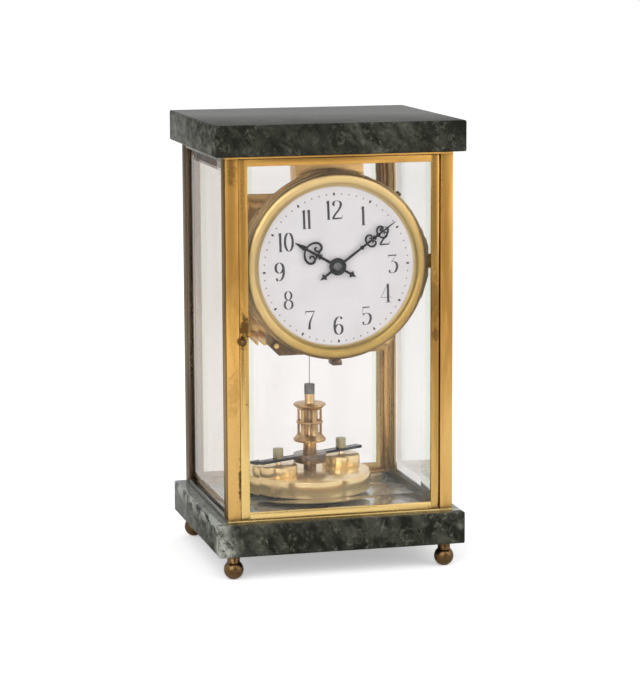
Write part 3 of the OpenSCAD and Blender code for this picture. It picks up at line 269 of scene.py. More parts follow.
def marble_look(where, polish):
    lean = where.stretch((1, 1, 1), turn=(0.5, 0.6, 0.3))
    streak = lean.stretch((1, 1, 0.38)).noise(96, 9, 0.74, 0.5)
    cloud = where.noise(17, 5, 0.6, 0.7)
    crumb = where.stretch((1, 1, 1), shift=(0.31, 0.17, 0.05)).noise(250, 7, 0.72, 0.4)
    grain = where.noise(520, 4, 0.6)
    tick = where.stretch((1, 1, 0.3), shift=(0.2, 0.1, 0.4)).noise(150, 4, 0.6, 0.3).above(0.69, 0.75)
    patch = where.stretch((1, 0.45, 1), shift=(0.1, 0.3, 0.2)).noise(150, 6, 0.68, 0.3)
    facing = where.add("TexCoord", out=1)
    upper = facing.part(2).above(0.5, 0.9)
    left = facing.part(0).above(-0.5, -0.9)
    inside = upper * where.part(2).above(0.1, 0.09) * where.part(1).above(DOOR_SILL_Y, DOOR_SILL_Y + 0.0008)
    edge = where.away(LEFT_EDGE_AT, (1, 0, 1)) + 0.02 * (patch - 0.5)
    edge = edge.above(0.012, 0.002) * patch.above(0.42, 0.58)
    corner = where.away(PALE_CORNER_AT) + 0.03 * (streak - 0.5)
    corner = corner.above(0.0165, 0.003) * crumb.above(0.36, 0.56)
    # painted reflection: the top of the base inside the case is pale grey green, paler to the right, for the
    # white room mirrored in the polish; the crumbs still show
    bed_reflection = where.part(0).above(-0.01, 0.045).blend(BED_REFLECTION_LEFT, BED_REFLECTION_RIGHT)
    green = streak.above(0.4, 0.64) * (0.35 + 0.65 * cloud.above(0.36, 0.62))
    crumbs = crumb.above(0.52, 0.66) * (0.3 + 0.7 * cloud.above(0.38, 0.58))
    tone = green.blend(MARBLE_DEEP, MARBLE_GREEN)
    tone = (crumbs * 0.55).blend(tone, CRUMB_GREY)
    # painted light: faces that turn to the left are made lighter grey in patches, for the lamp on the left
    tone = (left * patch.above(0.4, 0.68) * 0.52).blend(tone, LEFT_PAINTED_LIGHT)
    tone = (inside * (0.5 + 0.4 * crumb.above(0.4, 0.6))).blend(tone, bed_reflection)
    tone = (edge * 0.8).blend(tone, EDGE_PALE)
    tone = (tick * 0.75).blend(tone, TICK_PALE)
    tone = (corner * 0.85).blend(tone, CORNER_PALE)
    return {"Base Color": tone, "Roughness": 0.09 + 0.1 * grain, "Specular IOR Level": 0.005,
            "Coat Weight": 0.6 * upper + 0.4 * inside, "Coat IOR": polish, "Coat Roughness": 0.05,
            "Normal": grain.bump(0.04, 0.0002)}


for node, polish in (("base_slab", 1.5), ("top_slab", 1.21)):
    marble = new_finish(node + "_marble", lambda where: marble_look(where, polish))
    dress([node], marble, SLAB_EDGE)


# Corner posts, rails and the studs that clamp them: drawn brass bars, once polished, now amber with brown
# streaks along the bars and dark specks where the lacquer has gone; painted shade darkens the sides that face
# out and the rear left post, and a painted highlight lightens the bars low down.
UPRIGHT, LEVEL, EVEN = (1, 1, 0.12), (0.12, 0.12, 1), (1, 1, 1)
FRAME_FRONT_Y = -0.0657


def aged_brass(name, tones, streak=UPRIGHT, wear=0.55, rough=0.24, speck=0.66, metal=1.0, dark_patches=(),
               foot=None, sides=None, side_from=0.0724, within=None, low_angle=(1, 1, 1)):
    """Aged metal in three tones: clean, brown in the streaks of wear, dark in specks and patches. Where
    asked, also a painted highlight low down, a pale painted highlight within the side rails and painted shade
    on the sides that face out.
    """
    clean, brown, dark = ((*tone, 1) for tone in tones)

    def look(where):
        haze = where.stretch(streak).noise(70, 6, 0.62, 0.3)
        fine = where.noise(900, 3)
        blot = where.noise(110, 7, 0.7, 0.5)
        mottle = where.noise(330, 5, 0.7, 0.4)
        tone = (haze.above(0.42, 0.68) * wear).blend(clean, brown)
        # painted highlight: the metal is made paler and yellower towards the bottom
        if foot:
            low_highlight = where.part(2).above(0.17, 0.07)
            tone = (low_highlight * (1.0 - 0.55 * haze.above(0.45, 0.7))).blend(tone, (*foot, 1))
        tone = (blot.above(speck, speck + 0.07) * 0.85).blend(tone, dark)
        for middle, reach, depth in dark_patches:
            off = where.away(middle, reach) + 3.0 * (mottle - 0.5)
            tone = (off.above(1.1, 0.3) * depth).blend(tone, dark)
        # painted highlight: the side rails inside the case are made pale grey
        if within:
            inner = abs(where.part(0)).above(0.0595, 0.0605) * abs(where.part(1)).above(0.059, 0.058)
            tone = (inner * (0.8 + 0.2 * haze)).blend(tone, (*within, 1))
        # painted shade: the sides that face out are darkened
        if sides:
            outer_shade = abs(where.part(0)).above(side_from, side_from + 0.0003)
            outer_shade = outer_shade * where.part(1).above(FRAME_FRONT_Y, FRAME_FRONT_Y + 0.0005)
            tone = (outer_shade * (0.7 + 0.3 * haze)).blend(tone, (*sides, 1))
        return {"Base Color": tone, "Metallic": metal, "Specular Tint": (*low_angle, 1),
                "Roughness": rough + 0.2 * haze.above(0.4, 0.7) + 0.12 * fine - 0.06,
                "Normal": fine.bump(0.06, 0.0002)}
    return new_finish(name, look)


FRAME_EDGE = 0.25
AMBER, AMBER_BROWN, AMBER_DARK = (0.68, 0.375, 0.097), (0.29, 0.14, 0.031), (0.075, 0.036, 0.011)
POST_TONES = (0.77, 0.43, 0.112), AMBER_BROWN, AMBER_DARK
REAR_TONES = (0.62, 0.41, 0.165), (0.34, 0.2, 0.085), (0.09, 0.05, 0.022)
SHADED_POST_TONES = (0.26, 0.2, 0.14), (0.15, 0.11, 0.075), (0.06, 0.04, 0.025)
STEEL_TONES = (0.36, 0.365, 0.37), (0.22, 0.2, 0.18), (0.08, 0.07, 0.06)
POST_SIDE_SHADE, RAIL_SIDE_SHADE, RAIL_WITHIN_HIGHLIGHT = (0.085, 0.068, 0.046), (0.15, 0.145, 0.12), (0.56, 0.57, 0.51)
SEAM_PITS = (-0.0652, -0.066, 0.062), (900, 60, 60), 0.9
# darker near the top of the front left post, just under the top rail
HEAD_DARKENING = (-0.069, -0.066, 0.255), (300, 60, 90), 0.5
MID_STAIN = (-0.069, -0.066, 0.118), (200, 60, 55), 0.22
frame_brass = aged_brass("frame_brass", POST_TONES, wear=0.7, dark_patches=(SEAM_PITS, HEAD_DARKENING, MID_STAIN),
                         foot=(0.74, 0.46, 0.155), sides=POST_SIDE_SHADE, low_angle=(0.85, 0.7, 0.5))
rail_brass = aged_brass("rail_brass", (AMBER, AMBER_BROWN, AMBER_DARK), streak=LEVEL, wear=0.6,
                        foot=(0.84, 0.6, 0.235), sides=RAIL_SIDE_SHADE, side_from=0.0646, within=RAIL_WITHIN_HIGHLIGHT)
rear_brass = aged_brass("rear_brass", REAR_TONES, wear=0.7, sides=POST_SIDE_SHADE)
# painted shade: a darker, greyer copy of the post brass for the rear left post
shaded_brass = aged_brass("shaded_brass", SHADED_POST_TONES, wear=0.7, sides=POST_SIDE_SHADE, low_angle=(0.85, 0.75, 0.65))
bare_steel = aged_brass("bare_steel", STEEL_TONES, wear=0.4, rough=0.3)
dress(["post_front_left", "post_front_right"], frame_brass, FRAME_EDGE)
dress(["post_rear_left"], shaded_brass, FRAME_EDGE)
dress(["post_rear_right"], rear_brass, FRAME_EDGE)
dress(["bottom_rails", "top_rails"], rail_brass, FRAME_EDGE)
dress(["top_studs"], bare_steel)


# Ball feet: turned brass balls, each on a short neck and in one piece with the stud that clamps the
# base to a corner post; brown all over with handling.
FOOT_TONES = (0.17, 0.1, 0.042), (0.07, 0.04, 0.018), (0.02, 0.012, 0.007)
foot_brass = aged_brass("foot_brass", FOOT_TONES, streak=EVEN, wear=0.8, rough=0.2, speck=0.6)
dress(["ball_feet"], foot_brass, sharp=40)


# Side panes: bevelled plate glass, flat inside, set in grooves of the posts and in the rails; both carry a
# faint mottled film, the left pane is tinted greyer, and its front and rear bevels are painted dark, painted
# shade.
def plate_glass(name, clear, film, bevel_from=1.0, bevel=(0.83, 0.87, 0.78), along=0):
    def look(where):
        dust = where.stretch((1, 1, 0.5)).noise(30, 5, 0.6, 0.4)
        tint = dust.above(0.3, 0.75).blend((*clear, 1), (*film, 1))
        tint = abs(where.part(along)).above(bevel_from, bevel_from + 0.0004).blend(tint, (*bevel, 1))
        return {"Base Color": tint, "Transmission Weight": 1.0, "Roughness": 0.0, "IOR": 1.32}
    return new_finish(name, look)


GLASS_SHARP = 2
SIDE_BEVEL_Y, BEVEL_SHADE = 0.0495, (0.22, 0.18, 0.145)
glass = plate_glass("plate_glass", (0.905, 0.905, 0.9), (0.88, 0.885, 0.875))
grey_glass = plate_glass("grey_glass", (0.82, 0.775, 0.72), (0.74, 0.69, 0.63), SIDE_BEVEL_Y, BEVEL_SHADE,
                         along=1)
dress(["left_glass"], grey_glass, sharp=GLASS_SHARP)
dress(["right_glass"], glass, sharp=GLASS_SHARP)


# Doors, front and rear alike: brass stiles and rails around a bevelled pane, hinged on pins, with a
# small turned latch of darkened brass on the free stile.
DOOR_EDGE, LATCH_EDGE, DOOR_BEVEL_X = 0.2, 0.12, 0.0553
HINGE_TONES = (0.62, 0.36, 0.1), AMBER_BROWN, AMBER_DARK
# painted shade: the rear door's stiles and rails are a darker copy of the door brass
BACK_SHADE_TONES = (0.5, 0.32, 0.14), (0.27, 0.16, 0.07), (0.09, 0.05, 0.022)
LATCH_TONES = (0.14, 0.08, 0.032), (0.07, 0.038, 0.016), (0.025, 0.015, 0.008)
LATCH_STAIN = (-0.0618, -0.066, 0.158), (230, 60, 85), 0.88
HINGE_STAINS = ((0.0615, -0.066, 0.1505), (300, 60, 210), 0.6), ((0.0615, -0.066, 0.174), (150, 60, 60), 0.4)
stile_brass = aged_brass("stile_brass", (AMBER, AMBER_BROWN, AMBER_DARK), wear=0.8,
                         dark_patches=(SEAM_PITS, LATCH_STAIN), foot=(0.84, 0.6, 0.23))
hinge_brass = aged_brass("hinge_brass", HINGE_TONES, wear=0.8, dark_patches=HINGE_STAINS, foot=(0.66, 0.43, 0.14))
shaded_back_brass = aged_brass("shaded_back_brass", BACK_SHADE_TONES, wear=0.7)
door_glass = plate_glass("door_glass", (0.945, 0.93, 0.92), (0.92, 0.9, 0.89), DOOR_BEVEL_X)
latch_bronze = aged_brass("latch_bronze", LATCH_TONES, streak=EVEN, wear=0.8, rough=0.3)
dress(["front_latch_stile"], stile_brass, DOOR_EDGE)
dress(["front_hinge_stile"], hinge_brass, DOOR_EDGE)
dress(["front_door_rails"], rail_brass, DOOR_EDGE)
dress(["rear_latch_stile", "rear_hinge_stile", "rear_door_rails"], shaded_back_brass, DOOR_EDGE)
dress(["front_glass", "rear_glass"], door_glass, sharp=GLASS_SHARP)
dress(["front_latch", "rear_latch"], latch_bronze, LATCH_EDGE, sharp=40)


# Carrier plate behind the dial, with its screws: sheet brass with a tab below, whose ears are screwed
# to the front posts; brown and dull, since nobody polishes it.
CARRIER_TONES = (0.56, 0.36, 0.13), (0.3, 0.17, 0.06), (0.06, 0.036, 0.02)
TAB_STAIN = (0, -0.055, 0.132), (60, 40, 200), 0.9
carrier_brass = aged_brass("carrier_brass", CARRIER_TONES, streak=EVEN, wear=0.75, rough=0.34, metal=0.6,
                           dark_patches=(TAB_STAIN,))
dress(["carrier"], carrier_brass, 0.15)
dress(["dial_screws"], bare_steel, 0.1)


# Bezel: one spun brass ring, a smooth rounded band in front with a small bead, and a plain skirt behind that
# is screwed to the carrier. Its colour holds painted light: a painted highlight on the lip, painted shade on
# the inner half of the band, painted light over its top and left, and a brown outer edge that is partly
# tarnish, partly painted shade.
def lathe(profile, centre, axis, steps=192, closed=True):
    """Mesh of a profile of (radius, height) points turned about an axis along -Y or Z, in millimetres."""
    bm = bmesh.new()
    rows = []
    for r, h in profile:
        if r < 1e-6:
            rows.append([bm.verts.new((0, 0, h / 1000))])
        else:
            rows.append([bm.verts.new((r / 1000 * math.cos(a), r / 1000 * math.sin(a), h / 1000))
                         for a in (2 * math.pi * i / steps for i in range(steps))])
    pairs = list(zip(rows, rows[1:]))
    if closed:
        pairs.append((rows[-1], rows[0]))
    for low, high in pairs:
        for i in range(steps):
            j = (i + 1) % steps
            if len(low) == 1:
                bm.faces.new((low[0], high[i], high[j]))
            elif len(high) == 1:
                bm.faces.new((low[i], low[j], high[0]))
            else:
                bm.faces.new((low[i], low[j], high[j], high[i]))
    bmesh.ops.recalc_face_normals(bm, faces=bm.faces)
    if axis == "-Y":
        bmesh.ops.rotate(bm, verts=bm.verts, matrix=Matrix.Rotation(math.radians(90), 3, "X"))
    bmesh.ops.translate(bm, verts=bm.verts, vec=Vector(centre) / 1000)
    mesh = bpy.data.meshes.new("turned")
    bm.to_mesh(mesh)
    bm.free()
    return mesh


def arc(centre, wide, high, start, end, steps):
    """Points of an ellipse from one angle to another, in degrees."""
    angles = [math.radians(start + (end - start) * i / steps) for i in range(steps + 1)]
    return [(centre[0] + wide * math.cos(a), centre[1] + high * math.sin(a)) for a in angles]


bezel_low, bezel_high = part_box("bezel")
DIAL_Z = (bezel_low.z + bezel_high.z) * 500
BEZEL_BACK = bezel_high.y * 1000
BEZEL_DEPTH = (bezel_high.y - bezel_low.y) * 1000
SKIRT_R, SKIRT_WALL, OPEN_R = 58.4, 2.2, 49.9
BEAD_R, BAND_W, BAND_H = 0.8, 3.6, 3.2
SEAT_H = BEZEL_DEPTH - 4.5
bezel_profile = ([(SKIRT_R - SKIRT_WALL, 0), (SKIRT_R, 0), (SKIRT_R, SEAT_H - 0.05)]
                 + arc((SKIRT_R - 0.2, BEZEL_DEPTH - 3.7), BEAD_R, BEAD_R, -75, 60, 10)
                 + arc((SKIRT_R - 3.5, BEZEL_DEPTH - BAND_H), BAND_W, BAND_H, 4, 166, 28)
                 + [(OPEN_R + 0.6, BEZEL_DEPTH - 2.9), (OPEN_R + 0.2, BEZEL_DEPTH - 3.4),
                    (OPEN_R, SEAT_H), (SKIRT_R - SKIRT_WALL, SEAT_H)])
BAND_INNER_SHADE, BAND_OUTER, BAND_BROWN = (0.35, 0.25, 0.06, 1), (0.56, 0.375, 0.1, 1), (0.38, 0.235, 0.06, 1)
BAND_PAINTED_LIGHT, RIM_TARNISH_AND_SHADE, LIP_HIGHLIGHT = (0.95, 0.73, 0.36, 1), (0.27, 0.155, 0.045, 1), (0.86, 0.72, 0.48, 1)
SKIRT_GOLD, SKIRT_BROWN = (0.95, 0.64, 0.26, 1), (0.7, 0.43, 0.15, 1)


def bezel_look(where):
    radius = where.away((0, 0, DIAL_Z / 1000), (1, 0, 1)) * 1000
    haze = where.noise(48, 6, 0.66, 0.5)
    fine = where.noise(900, 3)
    wobble = radius + 0.9 * (haze - 0.5)
    to_left = where.part(0) * -1000
    height = where.part(2) * 1000 - DIAL_Z
    depth = where.part(1) * 1000 - (BEZEL_BACK - BEZEL_DEPTH)
    # painted light: the top and the left of the band are made paler, as lit from the upper left
    lit_top_left = height.above(0, 58).either(to_left.above(16, 56) * 0.7)
    skirt = depth.above(4.4, 5.2)
    # the outer edge is browned, partly tarnish in the bead's groove and partly painted shade, less where
    # painted light falls
    rim_tarnish_and_shade = wobble.above(SKIRT_R - 1.5, SKIRT_R - 0.2) * (0.8 - 0.5 * lit_top_left)
    # painted shade: the inner half of the band is darker olive, the outer half plain gold
    tone = wobble.above(OPEN_R + 1.0, OPEN_R + 4.8).blend(BAND_INNER_SHADE, BAND_OUTER)
    tone = (haze.above(0.42, 0.66) * 0.5).blend(tone, BAND_BROWN)
    tone = (lit_top_left * 0.65).blend(tone, BAND_PAINTED_LIGHT)
    tone = rim_tarnish_and_shade.blend(tone, RIM_TARNISH_AND_SHADE)
    tone = skirt.blend(tone, haze.above(0.35, 0.65).blend(SKIRT_GOLD, SKIRT_BROWN))
    # painted highlight: a pale line along the lip
    tone = radius.above(OPEN_R + 0.75, OPEN_R + 0.35).blend(tone, LIP_HIGHLIGHT)
    return {"Base Color": tone, "Metallic": 0.95 - 0.7 * skirt, "Roughness": 0.32 + 0.14 * haze + 0.08 * fine,
            "Normal": fine.bump(0.05, 0.0002)}


bezel_brass = new_finish("bezel_brass", bezel_look)
bezel_mesh = lathe(bezel_profile, (0, BEZEL_BACK, DIAL_Z), "-Y", 256)
place(bezel_mesh, "bezel_finished", bezel_brass, "case", "bezel", sharp=40)


# Bezel screw: a small dark screw with a round head, up on the right, that goes through the skirt and
# locks the bezel on the carrier.
SCREW_UP_DEG, SCREW_Y = 47, -52.0
SHANK_R, HEAD_R = 0.9, 1.9
screw_profile = [(0, 57.0), (SHANK_R, 57.0), (SHANK_R, 59.3), (HEAD_R - 0.3, 59.3), (HEAD_R, 59.6),
                 (HEAD_R, 60.6), (HEAD_R - 0.3, 61.0), (0, 61.2)]
screw_mesh = lathe(screw_profile, (0, 0, 0), "Z", 32, closed=False)
screw_mesh.transform(Matrix.Translation((0, SCREW_Y / 1000, DIAL_Z / 1000))
                     @ Matrix.Rotation(math.radians(90 - SCREW_UP_DEG), 4, "Y"))
place(screw_mesh, "bezel_screw", latch_bronze, "case", sharp=40)


# Dial: copper disc with white enamel, slightly domed, the numbers and the minute track fired on in
# black, on three feet pinned through the carrier.
dial_low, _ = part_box("dial")
DIAL_R, DIAL_FRONT, DIAL_DOME, DIAL_THICK = 55.0, dial_low.y * 1000, 0.6, 2.0
PIPE_HOLE_R = 3.45
DOME_STEPS = 24


def enamel_look(where):
    wave = where.noise(60, 3)
    fine = where.noise(700, 3)
    tone = wave.above(0.3, 0.7).blend((0.785, 0.78, 0.82, 1), (0.83, 0.825, 0.86, 1))
    return {"Base Color": tone, "Roughness": 0.12 + 0.1 * fine, "Coat Weight": 0.35, "Coat Roughness": 0.06,
            "Normal": wave.bump(0.05, 0.0004)}


def dial_depth(r):
    """How far the front of the enamel lies behind its middle, in millimetres."""
    return DIAL_DOME * (r / DIAL_R) ** 2


white_enamel = new_finish("white_enamel", enamel_look)
dome_radii = [PIPE_HOLE_R + (DIAL_R - PIPE_HOLE_R) * i / DOME_STEPS for i in range(DOME_STEPS + 1)]
dial_profile = ([(PIPE_HOLE_R, -DIAL_THICK)] + [(r, -dial_depth(r)) for r in dome_radii]
                + [(DIAL_R, -DIAL_THICK)])
dial_mesh = lathe(dial_profile, (0, DIAL_FRONT, DIAL_Z), "-Y")
place(dial_mesh, "dial_finished", white_enamel, "case", "dial", sharp=40)


# Numbers: slender and upright, with heavy upright strokes, hairlines across and small round ends,
# fired into the enamel in black, so they follow the dome of the dial.
class FlatWork:
    """Flat shapes about the dial's middle, in millimetres: front and back give the depth at a radius."""

    def __init__(self, front, back, clockwise=0.0, drop=0.0):
        self.front, self.back, self.turn, self.drop = front, back, math.radians(clockwise), drop
        self.points, self.faces = [], []

    def ring_of(self, outline):
        first = len(self.points)
        c, s = math.cos(self.turn), math.sin(self.turn)
        for depth in (self.front, self.back):
            for x, z in outline:
                self.points.append(((x * c + z * s) / 1000, depth(math.hypot(x, z)) / 1000,
                                    (DIAL_Z - self.drop + z * c - x * s) / 1000))
        return first, len(outline)

    def fill(self, outline):
        first, n = self.ring_of(outline)
        self.faces.append(list(range(first, first + n)))
        self.faces.append(list(range(first + 2 * n - 1, first + n - 1, -1)))
        for i in range(n):
            j = (i + 1) % n
            self.faces.append([first + j, first + i, first + n + i, first + n + j])

    def stroke(self, line, widths):
        """A ribbon along a line of points, split into short flat steps so that it follows the dome."""
        left, right = [], []
        for i, (x, z) in enumerate(line):
            ax, az = line[max(i - 1, 0)]
            bx, bz = line[min(i + 1, len(line) - 1)]
            size = math.hypot(bx - ax, bz - az) or 1
            nx, nz = -(bz - az) / size * widths[i] / 2, (bx - ax) / size * widths[i] / 2
            left.append((x + nx, z + nz))
            right.append((x - nx, z - nz))
        for i in range(len(line) - 1):
            self.fill([left[i], left[i + 1], right[i + 1], right[i]])

    def mesh(self, name):
        mesh = bpy.data.meshes.new(name)
        mesh.from_pydata(self.points, [], self.faces)
        bm = bmesh.new()
        bm.from_mesh(mesh)
        bmesh.ops.recalc_face_normals(bm, faces=bm.faces)
        bm.to_mesh(mesh)
        bm.free()
        return mesh


NUMBER_H, NUMBER_RING, NUMBER_GAP = 11.9, 36.5, 0.07
STEM, HAIR, BALL_R = 0.128, 0.022, 0.056
WIDE, DIAL_TURN, DIAL_DROP = 1.4, -1.8, 1.2
PRINT_PROUD, PRINT_SUNK = 0.05, 0.04


def smooth_line(points, steps=8):
    """A soft curve through the points."""
    line = []
    last = len(points) - 1
    for i in range(last):
        p0, p1, p2, p3 = points[max(i - 1, 0)], points[i], points[i + 1], points[min(i + 2, last)]
        for k in range(steps):
            t = k / steps
            line.append(tuple(0.5 * (2 * b + (c - a) * t + (2 * a - 5 * b + 4 * c - d) * t * t
                                     + (3 * b - a - 3 * c + d) * t ** 3)
                              for a, b, c, d in zip(p0, p1, p2, p3)))
    return line + [points[-1]]


def oval(cx, cy, rx, ry, steps=40):
    return [(cx + rx * math.cos(2 * math.pi * i / steps), cy + ry * math.sin(2 * math.pi * i / steps))
            for i in range(steps + 1)]


def stressed(line, stem=STEM):
    """Pen widths along a line: full where it runs upright, a hairline where it runs across."""
    widths = []
    for i in range(len(line)):
        ax, ay = line[max(i - 1, 0)]
        bx, by = line[min(i + 1, len(line) - 1)]
        rise = abs(by - ay) / (math.hypot(bx - ax, by - ay) or 1)
        widths.append(HAIR + (stem - HAIR) * rise ** 2.2)
    return widths


def taper(line, widths):
    """Widths along a line that go evenly from each given width to the next."""
    last = len(widths) - 1
    result = []
    for i in range(len(line)):
        share = i / (len(line) - 1) * last
        k = min(int(share), last - 1)
        result.append(widths[k] + (widths[k + 1] - widths[k]) * (share - k))
    return result


def pen(*points):
    line = smooth_line(points)
    return line, stressed(line)


def brush(points, *widths):
    line = smooth_line(points)
    return line, taper(line, widths)


def rule(start, end, width, width_end=None):
    line = [tuple(a + (b - a) * i / 6 for a, b in zip(start, end)) for i in range(7)]
    return line, taper(line, (width, width_end or width))


def loop(cx, cy, rx, ry, stem=STEM):
    line = oval(cx, cy, rx, ry)
    return line, stressed(line, stem)


six = [pen((0.35, 0.9), (0.28, 0.968), (0.17, 0.92), (0.085, 0.72), (0.065, 0.42), (0.1, 0.15),
           (0.215, 0.025), (0.33, 0.12), (0.365, 0.3), (0.33, 0.48), (0.225, 0.57), (0.12, 0.48),
           (0.08, 0.36))]
bowl = ((0.27, 0.63), (0.365, 0.52), (0.385, 0.32), (0.315, 0.1), (0.18, 0.025), (0.07, 0.09))
# Each number: its width, its strokes, and the middles of its round ends, with its height as 1.
DIGITS = {
    "0": (0.42, [loop(0.21, 0.5, 0.148, 0.478)], []),
    "1": (0.2, [rule((0.11, 0), (0.11, 1), STEM), rule((0.0, 0.013), (0.22, 0.013), HAIR),
                rule((0.0, 0.87), (0.09, 0.985), HAIR, 0.05)], []),
    "2": (0.44, [pen((0.075, 0.76), (0.11, 0.91), (0.22, 0.972), (0.345, 0.9), (0.37, 0.73), (0.29, 0.5),
                     (0.15, 0.27), (0.045, 0.05)),
                 rule((0.03, 0.045), (0.4, 0.045), 0.09, 0.07), rule((0.4, 0.03), (0.425, 0.21), HAIR)],
          [(0.1, 0.755)]),
    "3": (0.43, [rule((0.05, 0.965), (0.37, 0.965), 0.062), rule((0.362, 0.965), (0.17, 0.62), HAIR),
                 rule((0.05, 0.97), (0.045, 0.84), HAIR), pen((0.17, 0.62), *bowl)], [(0.09, 0.14)]),
    "4": (0.46, [rule((0.31, 0), (0.31, 1), STEM), rule((0.3, 0.99), (0.02, 0.285), HAIR),
                 rule((0.02, 0.285), (0.45, 0.285), HAIR), rule((0.2, 0.013), (0.42, 0.013), HAIR)], []),
    "5": (0.43, [rule((0.085, 0.955), (0.355, 0.955), 0.07, 0.05), rule((0.088, 0.98), (0.085, 0.55), HAIR),
                 pen((0.085, 0.555), (0.16, 0.62), *bowl)], [(0.09, 0.14)]),
    "6": (0.43, six, [(0.335, 0.88)]),
    "7": (0.42, [rule((0.04, 0.95), (0.4, 0.95), 0.06), rule((0.045, 0.96), (0.035, 0.79), HAIR),
                 brush([(0.395, 0.945), (0.28, 0.62), (0.2, 0.33), (0.18, 0)], HAIR, 0.15)], []),
    "8": (0.43, [loop(0.215, 0.745, 0.12, 0.228, 0.1), loop(0.215, 0.263, 0.15, 0.24, 0.115)], []),
    "9": (0.43, [([(0.43 - x, 1 - y) for x, y in line], widths) for line, widths in six], [(0.095, 0.12)]),
}
spread = {d: 1.0 if d == "1" else WIDE for d in DIGITS}
numbers = FlatWork(lambda r: DIAL_FRONT + dial_depth(r) - PRINT_PROUD,
                   lambda r: DIAL_FRONT + dial_depth(r) + PRINT_SUNK, DIAL_TURN, DIAL_DROP)
for hour in range(1, 13):
    angle = math.radians(30 * hour)
    width = sum(DIGITS[d][0] * spread[d] for d in str(hour)) + NUMBER_GAP * (len(str(hour)) - 1)
    left_x = NUMBER_RING * math.sin(angle) - width * NUMBER_H / 2
    base_z = NUMBER_RING * math.cos(angle) - NUMBER_H / 2
    for d in str(hour):
        advance, strokes, balls = DIGITS[d]
        for line, widths in strokes:
            numbers.stroke([(left_x + x * spread[d] * NUMBER_H, base_z + y * NUMBER_H) for x, y in line],
                           [w * NUMBER_H for w in widths])
        for x, y in balls:
            numbers.fill([(left_x + (x * spread[d] + px) * NUMBER_H, base_z + (y + py) * NUMBER_H)
                          for px, py in oval(0, 0, BALL_R, BALL_R, 20)[:-1]])
        left_x += (advance * spread[d] + NUMBER_GAP) * NUMBER_H
dial_black = new_finish("dial_black", lambda where: {
    "Base Color": where.noise(800, 2).above(0.3, 0.7).blend((0.012, 0.012, 0.016, 1), (0.03, 0.03, 0.036, 1)),
    "Roughness": 0.3})
place(numbers.mesh("dial_numbers"), "dial_numbers", dial_black, "case")


# Minute track: a black dot for every minute and a small lozenge at every fifth, fired on with the
# numbers and set out evenly round the edge of the dial.
class Nodes:
    """A Geometry Nodes tree with named inputs, turned into a plain mesh once it is set up."""

    def __init__(self, name, **inputs):
        self.tree = bpy.data.node_groups.new(name, "GeometryNodeTree")
        self.tree.interface.new_socket("Geometry", in_out="INPUT", socket_type="NodeSocketGeometry")
        self.tree.interface.new_socket("Geometry", in_out="OUTPUT", socket_type="NodeSocketGeometry")
        self.values = {}
        for key, value in inputs.items():
            kind = "NodeSocketInt" if isinstance(value, int) else "NodeSocketFloat"
            socket = self.tree.interface.new_socket(key, in_out="INPUT", socket_type=kind)
            self.values[socket.identifier] = value
        self.group_in = self.tree.nodes.new("NodeGroupInput")
        self.group_out = self.tree.nodes.new("NodeGroupOutput")

    def size(self, key):
        return self.group_in.outputs[key]

    def add(self, kind, sockets=None, **settings):
        node = self.tree.nodes.new(kind)
        for key, value in settings.items():
            setattr(node, key, value)
        for key, value in (sockets or {}).items():
            if isinstance(value, bpy.types.NodeSocket):
                self.tree.links.new(value, node.inputs[key])
            else:
                node.inputs[key].default_value = value
        return node.outputs[0]

    def make(self, name, geometry, material):
        real = self.add("GeometryNodeRealizeInstances", {0: geometry})
        shown = self.add("GeometryNodeSetMaterial", {"Geometry": real, "Material": material})
        self.tree.links.new(shown, self.group_out.inputs[0])
        holder = bpy.data.objects.new(name, bpy.data.meshes.new(name + "_start"))
        scene.collection.objects.link(holder)
        modifier = holder.modifiers.new("nodes", "NODES")
        modifier.node_group = self.tree
        for identifier, value in self.values.items():
            modifier[identifier] = value
        graph = bpy.context.evaluated_depsgraph_get()
        mesh = bpy.data.meshes.new_from_object(holder.evaluated_get(graph))
        holder.modifiers.remove(modifier)
        bpy.data.objects.remove(holder)
        mesh.name = name
        return mesh


TRACK_R = 46.4
track = Nodes("minute_track", Ring=TRACK_R / 1000, Minutes=60, Fives=12, Dot=0.00042, Thick=0.0001,
              Long=0.0013)
dots_ring = track.add("GeometryNodeMeshCircle", {"Vertices": track.size("Minutes"),
                                                 "Radius": track.size("Ring")})
dot = track.add("GeometryNodeMeshCylinder", {"Vertices": 10, "Radius": track.size("Dot"),
                                             "Depth": track.size("Thick")})
dots = track.add("GeometryNodeInstanceOnPoints", {"Points": dots_ring, "Instance": dot})
fives_ring = track.add("GeometryNodeMeshCircle", {"Vertices": track.size("Fives"),
                                                  "Radius": track.size("Ring")})
square = track.add("GeometryNodeMeshCylinder", {"Vertices": 4, "Radius": track.size("Long"),
                                                "Depth": track.size("Thick")})
lozenge = track.add("GeometryNodeTransform", {"Geometry": square, "Scale": (1.0, 0.62, 1.3)})
turn = track.add("ShaderNodeMath", {0: track.add("GeometryNodeInputIndex"), 1: math.radians(30)},
                 operation="MULTIPLY")
outward = track.add("ShaderNodeCombineXYZ", {2: turn})
fives = track.add("GeometryNodeInstanceOnPoints", {"Points": fives_ring, "Instance": lozenge,
                                                   "Rotation": outward})
both = track.add("GeometryNodeJoinGeometry")
for marks in (dots, fives):
    track.tree.links.new(marks, both.node.inputs[0])
track_mesh = track.make("minute_track", both, dial_black)
track_middle = (0, (DIAL_FRONT + dial_depth(TRACK_R)) / 1000, (DIAL_Z - DIAL_DROP) / 1000)
track_mesh.transform(Matrix.Translation(track_middle) @ Matrix.Rotation(math.radians(90), 4, "X")
                     @ Matrix.Rotation(math.radians(-DIAL_TURN), 4, "Z"))
place(track_mesh, "minute_track", dial_black, "case")


